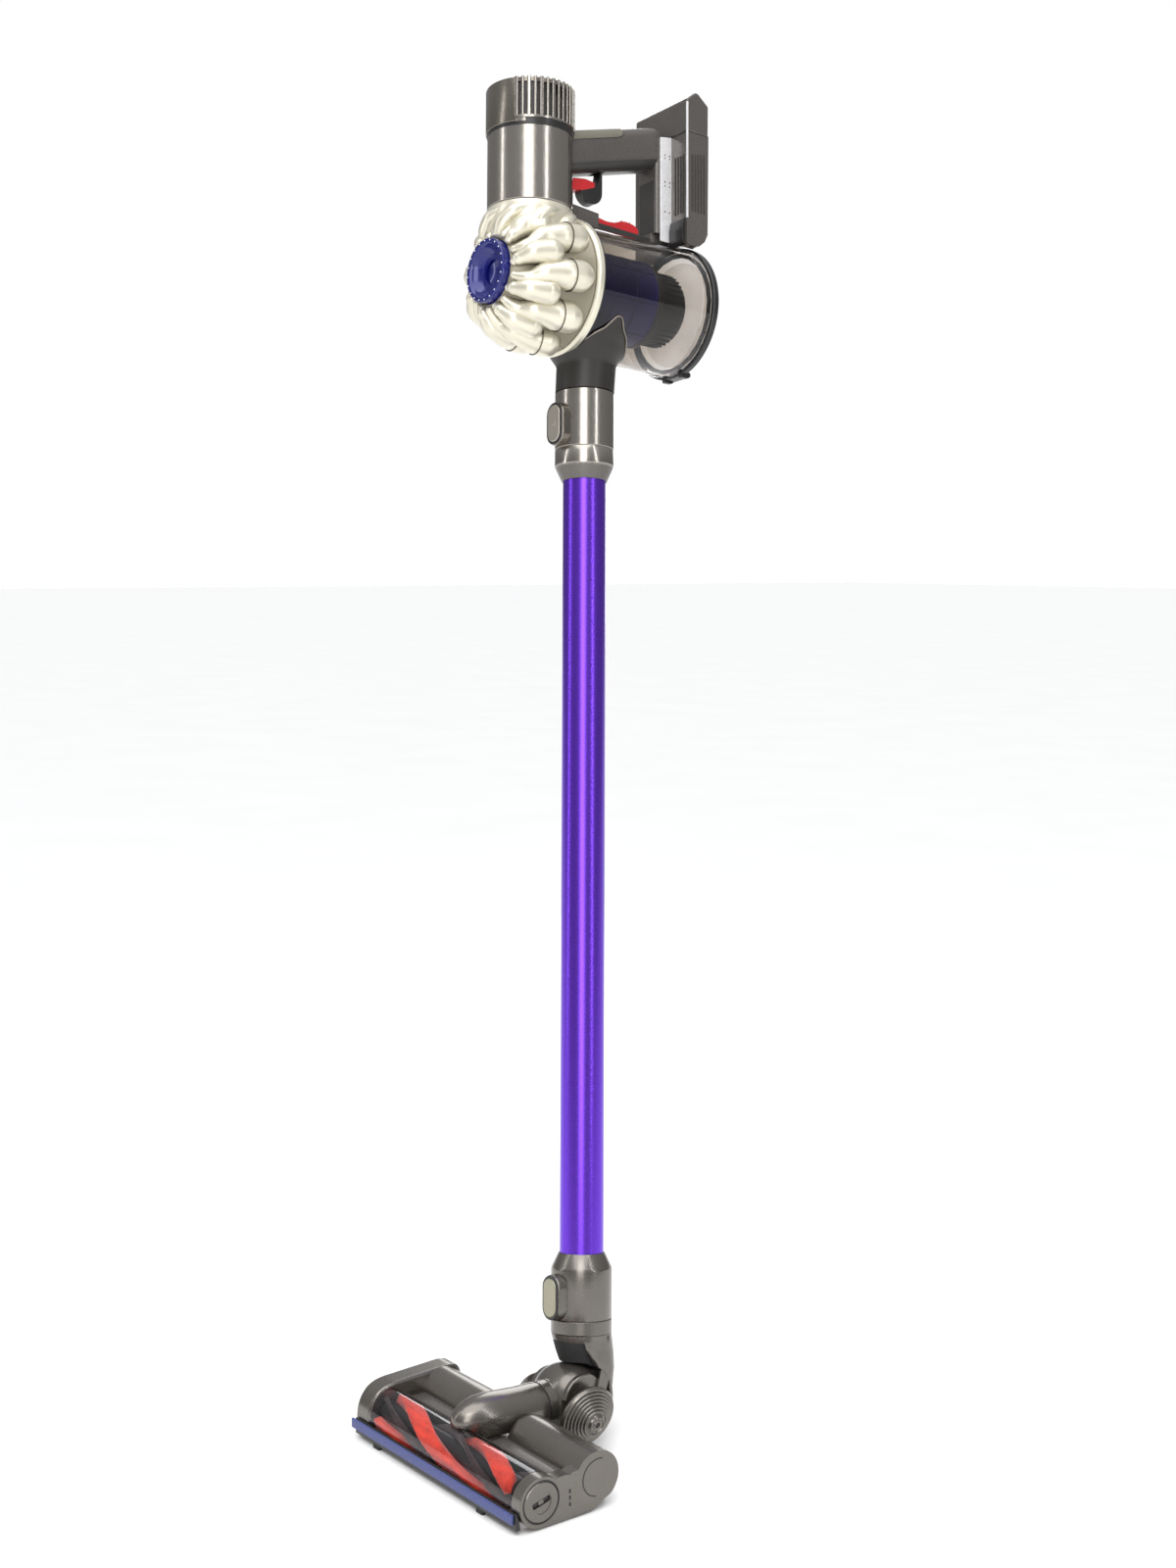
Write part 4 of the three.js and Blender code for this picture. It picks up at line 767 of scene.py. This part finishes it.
def neck_arm():
    """The arm that curves round the back of the elbow."""
    verts = []
    rows, seg = 40, 40
    for j in range(rows + 1):
        phi = -25 + 75 * j / rows
        wide = 19.4 + 4.6 * max(0.0, min(1.0, (phi - 16) / 14))
        taper = min(1.0, sin(pi * (j + 0.5) / (rows + 1)) * 3.2)
        for i in range(seg):
            a = 2 * pi * i / seg
            c, s = cos(a), sin(a)
            cx = copysign(abs(c) ** 0.62, c) * wide * (0.82 + 0.18 * taper)
            edge = max(0.0, abs(cx) - 13) / 13
            outer = 39.7 - 6.0 * edge ** 1.8
            inner_r = 31.5 - 2.9 * edge ** 1.6
            mid, half = (outer + inner_r) / 2, (outer - inner_r) / 2
            r = mid + copysign(abs(s) ** 0.7, s) * half * (0.55 + 0.45 * taper)
            t = radians(phi)
            verts.append(Vector((cx, r * cos(t), r * sin(t))))
    return verts, loops(rows + 1, seg) + [tuple(range(seg)), tuple(range(rows * seg + seg - 1, rows * seg - 1, -1))]


piece("neck_arm", neck_arm(), NECK, HOUSING, "neck", slot="housing", sharp=60)
arm = soften([(0, -2.5), (-2, 3), (14, 10), (20, 33), (28, 30), (29, 24), (24, 9), (19, 1)], 1.6)
for side in (1, -1):
    name = "neck_cheek_" + ("r" if side > 0 else "l")
    x = side * 24.6
    piece(name, together(slab(arm, x - 1.2, x + 1.2, "x"), rod(4.8, x - 1.3, x + 1.3, "x", edge=0.3)), NECK,
          HOUSING, "neck", bevel=0.5, slot="housing")
notch = moved(block(25.4, 27.3, -2.2, 2.2, 47.5, 53.6), turned(26, "Z", CUFF_AXIS))
piece("neck_notch", notch, NECK, BLACK, "neck", bevel=0.5, slot="black")

# ------------ elbow and wheels
STEPS, STEP_IN, STEP_UP = 7, 2.5, 1.72
WHEEL_STEP = (27.4, 4.4)            # radius and height of the first step


def wheel_spot(side):
    """The place of a wheel on the elbow, turned to its camber."""
    return turned(110 * side, "Y", (side * 29.8, -4, -10.1))


dome = lathe([(0, -22.7), (23.2, -22.7), (25.8, -19), (27.8, -14.6), (29.4, -8), (30, 0), (29.4, 8), (27.8, 14.6),
              (25.8, 19), (23.2, 22.7), (0, 22.7)], "x", seg=128)
throat = lathe([(0, -50), (15.6, -50), (15.6, -33), (19.8, -32.6), (20.6, -31.8), (20.7, -24.5), (20.2, -23.9),
    (20.4, -23.3), (21.0, -22.8), (21.4, -14), (0, -10)], "y", seg=96)
lips = []
for side in (1, -1):
    lips.append(lathe([(20.8, side * 22), (23.4, side * 22.2), (23.5, side * 27), (22.8, side * 28),
        (20.8, side * 28)], "x", seg=48, start=78, sweep=86))
axles = [moved(rod(3.5, -15, 12.6, edge=0.2), wheel_spot(side)) for side in (1, -1)]
piece("elbow", together(dome, throat, *lips, *axles, rod(3, -26, 26, "x", edge=0.2)), ELBOW, HOUSING, "elbow",
      "elbow_housing", sharp=35)

steps = [(0, 0), (CUFF_R, 0), (27.8, 0.5), (28, 1.4), (28, 3.6), (27.4, 4.4)]
r, h = WHEEL_STEP
grooves = []
for k in range(STEPS):
    steps += [(r - 0.4, h + 0.9), (r - 1.3, h + 1.15), (r - 2.0, h + 0.75), (r - 2.5, h + 0.85)]
    grooves.append(lathe([(r - 1.7, h + 0.75), (r - 2.3, h + 0.98), (r - 2.3, h + 0.5)], seg=96))
    r, h = r - STEP_IN, h + STEP_UP
steps += [(8.6, 16.4), (8.0, 17.6), (7.2, 18.4), (6.2, 18.5), (5.8, 17.7), (4.4, 17.5), (4.0, 18.0), (2.6, 18.0),
          (2.3, 16.9), (0, 16.9)]
for side, tag, body in ((1, "right", "wheel_r"), (-1, "left", "wheel_l")):
    spot = ELBOW @ wheel_spot(side)
    piece("wheel_face_" + tag, lathe(steps, seg=128), spot, HOUSING, body, "wheel_" + tag, sharp=50)
    piece("wheel_grooves_" + tag, together(*grooves, rod(2.2, 16.4, 17.2, edge=0.1)), spot, BLACK, body,
          slot="black")

# ------------ floor head
AXLE = (0, -31, 23.5)               # the brush's axis
BAR = (0, 26, 29)                   # the rear bar's axis
CHAMBER = (-102.7, 112.7)           # from the belt housing to the right end
BRUSH_YZ = AXLE[1:]
side_outline = [(-47, 3), (41, 3), (46, 4.5), (48.5, 9), (48.5, 14), (48.5, 38), (47, 45), (43, 49.5), (36, 51),
    (-24, 48.5), (-33, 47), (-41, 43), (-47, 36), (-50.5, 28), (-51.5, 20), (-51.5, 8), (-50.4, 4.6)]
on_head("belt_end", slab(soften(side_outline, 3.5, 4), -125, -103.2, "x"), HOUSING, "belt_housing", bevel=3.2,
      sharp=50)
on_head("bar_left", lathe([(0, -22.2), (14, -22.6), (19, -25), (21.4, -29), (22, -34), (22, -103.5),
      (0, -103.5)], "x", BAR, 128), HOUSING, slot="housing", sharp=40)
on_head("bar_right", lathe([(0, 22.2), (14, 22.6), (19, 25), (21.4, 29), (22, 34), (22, 112.7), (0, 112.7)],
      "x", BAR, 128), HOUSING, "rear_bar", sharp=40)
plate_outline = (arc(*BAR[1:], 22.4, -52, 147.6, 40) + [(1.5, 40.4), (-2, 38.6), (-5.4, 39.9), (-17, 39.5)]
                 + arc(-31, 23.1, 21.2, 49.5, 268, 44) + [(20, 2.6)])
on_head("right_end", slab(plate_outline, 113, 125, "x"), HOUSING, "end_plate", bevel=1.4, sharp=45,
      minus=[rod(17.3, 108, 130, "x", AXLE, 96, 0.1)])
on_head("end_seams", ring(18.3, 17.2, 124.6, 125.25, "x", AXLE, 96, 0.1), BLACK, slot="black")
seam = lathe([(15.3, 124.6), (16.3, 124.6), (16.3, 125.2), (15.3, 125.2)], "x", (0, 27, 29), 60, 75, 185)
on_head("end_arc_seam", seam, BLACK, slot="black")
cap = ring(17, 9.6, 116, 125.6, "x", AXLE, 96, 0.8)
inside = slab(rrect(-42.4, 12.2, -19.6, 34.8, 11.3, 16), 119, 125.1, "x")
tilt = turned(14, "X", AXLE) @ Matrix.Translation(-Vector(AXLE))
slot_cut = moved(slab(rrect(-40, 20.9, -22, 26.1, 1.6, 6), 122.4, 128, "x"), tilt)
piece("coin_ring", cap, HEAD, HOUSING, "end_cap", "brush_end_cap", sharp=40)
piece("coin_face", inside, HEAD, HOUSING, "end_cap", minus=[slot_cut], slot="housing")
piece("coin_slot", moved(slab(rrect(-39.7, 21.2, -22.3, 25.8, 1.4, 6), 121.4, 123.4, "x"), tilt), HEAD, BLACK,
      "end_cap", slot="black")
piece("coin_bar", moved(slab(rrect(-33.6, 21.6, -28.4, 25.4, 0.6, 4), 122, 124.6, "x"), tilt), HEAD, HOUSING,
      "end_cap", bevel=0.3, slot="housing")
marks = [moved(slab(rrect(-0.9, -1.7, 0.9, 1.7, 0.5, 4), 124.9, 125.2, "x"), Matrix.Translation((0, y, z)))
         for y, z in ((-2, 14), (-2, 19.5), (-2, 25))]
on_head("vent_marks", together(*marks), BLACK, slot="black")

deck = [(-25.2, 3), (45, 3), (46, 5), (46, 12), (8, 33), (-11.9, 33)] + arc(*BRUSH_YZ, 21.4, 24, -72, 20)
on_head("deck", slab(deck, *CHAMBER, "x"), HOUSING, "head_base", bevel=0.5, sharp=35)
on_head("deck_feet", together(*[slab(rrect(x - 7, 34, x + 7, 42, 2), 0.0, 4) for x in (-80, 80)]), RUBBER,
      bevel=0.5, slot="rubber")
recess = soften([(-9, 33.2), (6, 33.2), (6, 34.2), (-9, 34.2)], 0.3, 2)
for tag, a, b in (("right", 24, 108), ("left", -98, -24)):
    on_head("deck_recess_" + tag, slab(recess, a, b, "x"), SHELL, bevel=0.3, slot="housing")

bullet = lathe([(0, -32), (3, -31.7), (6.4, -30.4), (10, -27.4), (13.4, -22.4), (16.4, -15.4), (18.8, -6),
    (20.4, 6), (21.2, 20), (21.4, 34), (21.2, 48), (20.9, 55.4), (20.5, 56.6), (15.9, 57.2), (15.9, 40), (0, 40)],
    "y", seg=128)
for p in bullet[0]:
    t = max(0.0, min(1.0, (42 - p.y) / 60))
    p.z += 41 + t * t * (3 - 2 * t) * 6
window_room = rod(21.3, -120, 120, "x", AXLE, 128, 0.1)
below = block(-40, 40, -60, 60, -10, 33.2)
on_head("snout_shell", bullet, HOUSING, "snout", sharp=45, minus=[window_room, below])
on_head("snout_seam", ring(21.0, 19.6, 56.5, 57.6, "y", (0, 0, 41), 96, 0.1), BLACK, slot="black")
flank = slab(soften([(-15.4, 33.3), (15.4, 33.3), (17.5, 45), (-17.5, 45)], 1), -12, 50, "y")
on_head("snout_skirt", flank, HOUSING, slot="housing", bevel=1.0, minus=[window_room])

arc_out = arc(*BRUSH_YZ, 21, -14, 200, 60)
arc_in = arc(*BRUSH_YZ, 19.4, 200, -14, 60)
on_head("window_shell", slab(arc_out + arc_in, *CHAMBER, "x"), WINDOW_CLEAR, "brush_window", slot="clear",
      sharp=40)
frame_back = arc(*BRUSH_YZ, 21.35, 27, 50, 8) + arc(*BRUSH_YZ, 20.9, 50, 27, 8)
on_head("window_frame", slab(frame_back, -102.6, 112.6, "x"), SHELL, slot="housing")
lip_shape = soften([(-54, 4), (-54, 17.6), (-52.6, 18.2), (-50.6, 12), (-49.4, 5), (-49.4, 4)], 0.6, 3)
feet = [slab(rrect(x - 5, -54, x + 5, -49.8, 1.6), 0.0, 5) for x in (-88, 70)]
on_head("front_lip", slab(lip_shape, -121, 122, "x"), BLACK, "front_bumper", bevel=0.3, slot="black")
on_head("front_feet", together(*feet), RUBBER, slot="rubber", bevel=0.4)
on_head("blue_strip", slab(soften([(-56, 8.5), (-54.3, 8.5), (-54.3, 17.2), (-56, 16.6)], 0.5, 3), -124.5, 119,
      "x"), FELT, "felt_strip", slot="felt", bevel=0.2)
on_head("front_sole", slab(soften([(-52, 3.2), (-44, 3.2), (-44, 5.2), (-51, 6.5)], 0.4, 3), -103, 113, "x"),
      BLACK, slot="black")

# ------------ brush
piece("core", lathe([(0, -101), (10.5, -101), (10.5, 99.6), (9, 100), (3, 100), (3, 109), (0, 109)], "x", AXLE,
      64), HEAD, BLACK, "brush", "brush_core", slot="black", sharp=35)


def pile(start, wide, inner_r, outer_r, ragged, rows=150, cols=14):
    """A ragged strip of pile that winds along the brush."""
    verts = []
    reach, turn = 98, 300.0
    for j in range(rows + 1):
        x = -reach + 2 * reach * j / rows
        for i in range(cols + 1):
            a = radians(start + wide * i / cols + turn * (x + reach) / 201)
            r = outer_r - ragged * random.random() - (1.6 if i in (0, cols) else 0)
            verts.append(Vector((x, AXLE[1] + r * cos(a), AXLE[2] + r * sin(a))))
        for i in (cols, 0):
            a = radians(start + wide * i / cols + turn * (x + reach) / 201)
            verts.append(Vector((x, AXLE[1] + inner_r * cos(a), AXLE[2] + inner_r * sin(a))))
    n = cols + 3
    return verts, loops(rows + 1, n) + [tuple(range(n)), tuple(range(rows * n + n - 1, rows * n - 1, -1))]


for i in (0, 1):
    tag = str(i + 1)
    piece("red_pile_" + tag, pile(180 * i, 62, 10.6, 18.8, 1.3), HEAD, PILE_RED, "brush", "red_bristle_" + tag,
          sharp=80, slot="bristle_red")
    piece("dark_pile_" + tag, pile(180 * i + 100, 14, 10.6, 18.4, 1.6, 150, 5), HEAD, PILE_DARK, "brush",
          "carbon_bristle_" + tag, sharp=80, slot="bristle_black")

# ------------ carried-over hidden pieces
PLAIN = {"motor_stator": STEEL, "motor_rotor": STEEL, "filter_core": PAPER, "door_hinge_pin": STEEL,
    "bin_door_seal": RUBBER, "cell_pack": CELLS, "battery_screw_1": STEEL, "battery_screw_2": STEEL,
    "charge_socket": BLACK, "wand_conduit": BLACK, "brush_motor": STEEL, "motor_pulley": STEEL,
    "drive_belt": RUBBER}
for node, mat in PLAIN.items():
    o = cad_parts[node]
    o.data.materials.clear()
    o.data.materials.append(mat)

# ------------ floor, camera and lights
floor = bpy.data.objects.new("floor", bpy.data.meshes.new("floor"))
floor.data.from_pydata([(-40, -40, 0), (40, -40, 0), (40, 40, 0), (-40, 40, 0)], [], [(0, 1, 2, 3)])
floor.data.materials.append(material("floor_white", (0.88, 0.88, 0.875), 0, 0.7, 0, 0.01, 3, 0.0, 200))
scene.collection.objects.link(floor)
scene.view_settings.view_transform = "Standard"

cam = bpy.data.objects.new("camera", bpy.data.cameras.new("camera"))
scene.collection.objects.link(cam)
cam.data.lens, cam.data.sensor_width = 48.79, 36
distance, eye_height = 1753.16, 781.4
az, look, pitch, roll = (radians(v) for v in (55.10, 52.25, 6.21, 0.23))
flat = Vector((-sin(look), cos(look), 0))
up = Vector((0, 0, 1))
aim = flat * cos(pitch) - up * sin(pitch)
above = flat * sin(pitch) + up * cos(pitch)
aside = Vector((cos(look), sin(look), 0))
x_axis = aside * cos(roll) + above * sin(roll)
y_axis = -aside * sin(roll) + above * cos(roll)
place = (origin + Vector((distance * sin(az), -distance * cos(az), eye_height))) * 0.001
cam.matrix_world = Matrix((
    (x_axis.x, y_axis.x, -aim.x, place.x), (x_axis.y, y_axis.y, -aim.y, place.y),
    (x_axis.z, y_axis.z, -aim.z, place.z), (0, 0, 0, 1)))
cam.data.clip_end = 100
scene.camera = cam


def light(name, angle, distance, height, size, power, target, color, tall):
    """An upright area light, at an angle round the vacuum, facing the height target on its axis."""
    data = bpy.data.lights.new(name, "AREA")
    data.energy, data.size, data.color = power, size, color
    data.shape, data.size_y = "RECTANGLE", tall
    o = bpy.data.objects.new(name, data)
    scene.collection.objects.link(o)
    a = radians(angle)
    o.location = (distance * sin(a), -distance * cos(a), height)
    back = (o.location - Vector((0, 0, target))).normalized()
    o.rotation_mode = "QUATERNION"
    o.rotation_quaternion = back.to_track_quat("Z", "Y")


light("front", 48, 2.5, 1.75, 1.15, 42, 0.9, (1, 0.99, 0.975), 2.9)
light("strip", 103, 2.3, 1.7, 0.12, 12, 0.9, (1, 1, 1), 2.8)
light("left_strip", -32, 2.3, 1.5, 0.12, 8, 0.9, (1, 1, 1), 2.4)
light("behind", 225, 2.4, 1.4, 1.2, 18, 0.7, (1, 1, 1), 1.6)
sun = bpy.data.objects.new("overhead", bpy.data.lights.new("overhead", "SUN"))
sun.data.energy, sun.data.angle = 1.9, radians(60)
sun.rotation_euler = (radians(12), radians(10), 0)
scene.collection.objects.link(sun)

world = bpy.data.worlds.new("studio")
scene.world = world
node = blank(world)
height = node("SeparateXYZ", wires={"Vector": node("TexCoord").outputs["Generated"]}).outputs["Z"]
height = node("MapRange", {"From Min": -0.1, "From Max": 1.0}, {"Value": height}).outputs["Result"]
shade = ramp(node, height, (0.13, 0.127, 0.122), (0.75, 0.76, 0.78))
lit = node("Background", wires={"Color": shade}).outputs["Background"]
seen = node("Background", {"Color": (1, 1, 1, 1)}).outputs["Background"]
direct = node("LightPath").outputs["Is Camera Ray"]
both = node("MixShader", wires={0: direct, 1: lit, 2: seen}).outputs["Shader"]
node("OutputWorld", wires={"Surface": both})
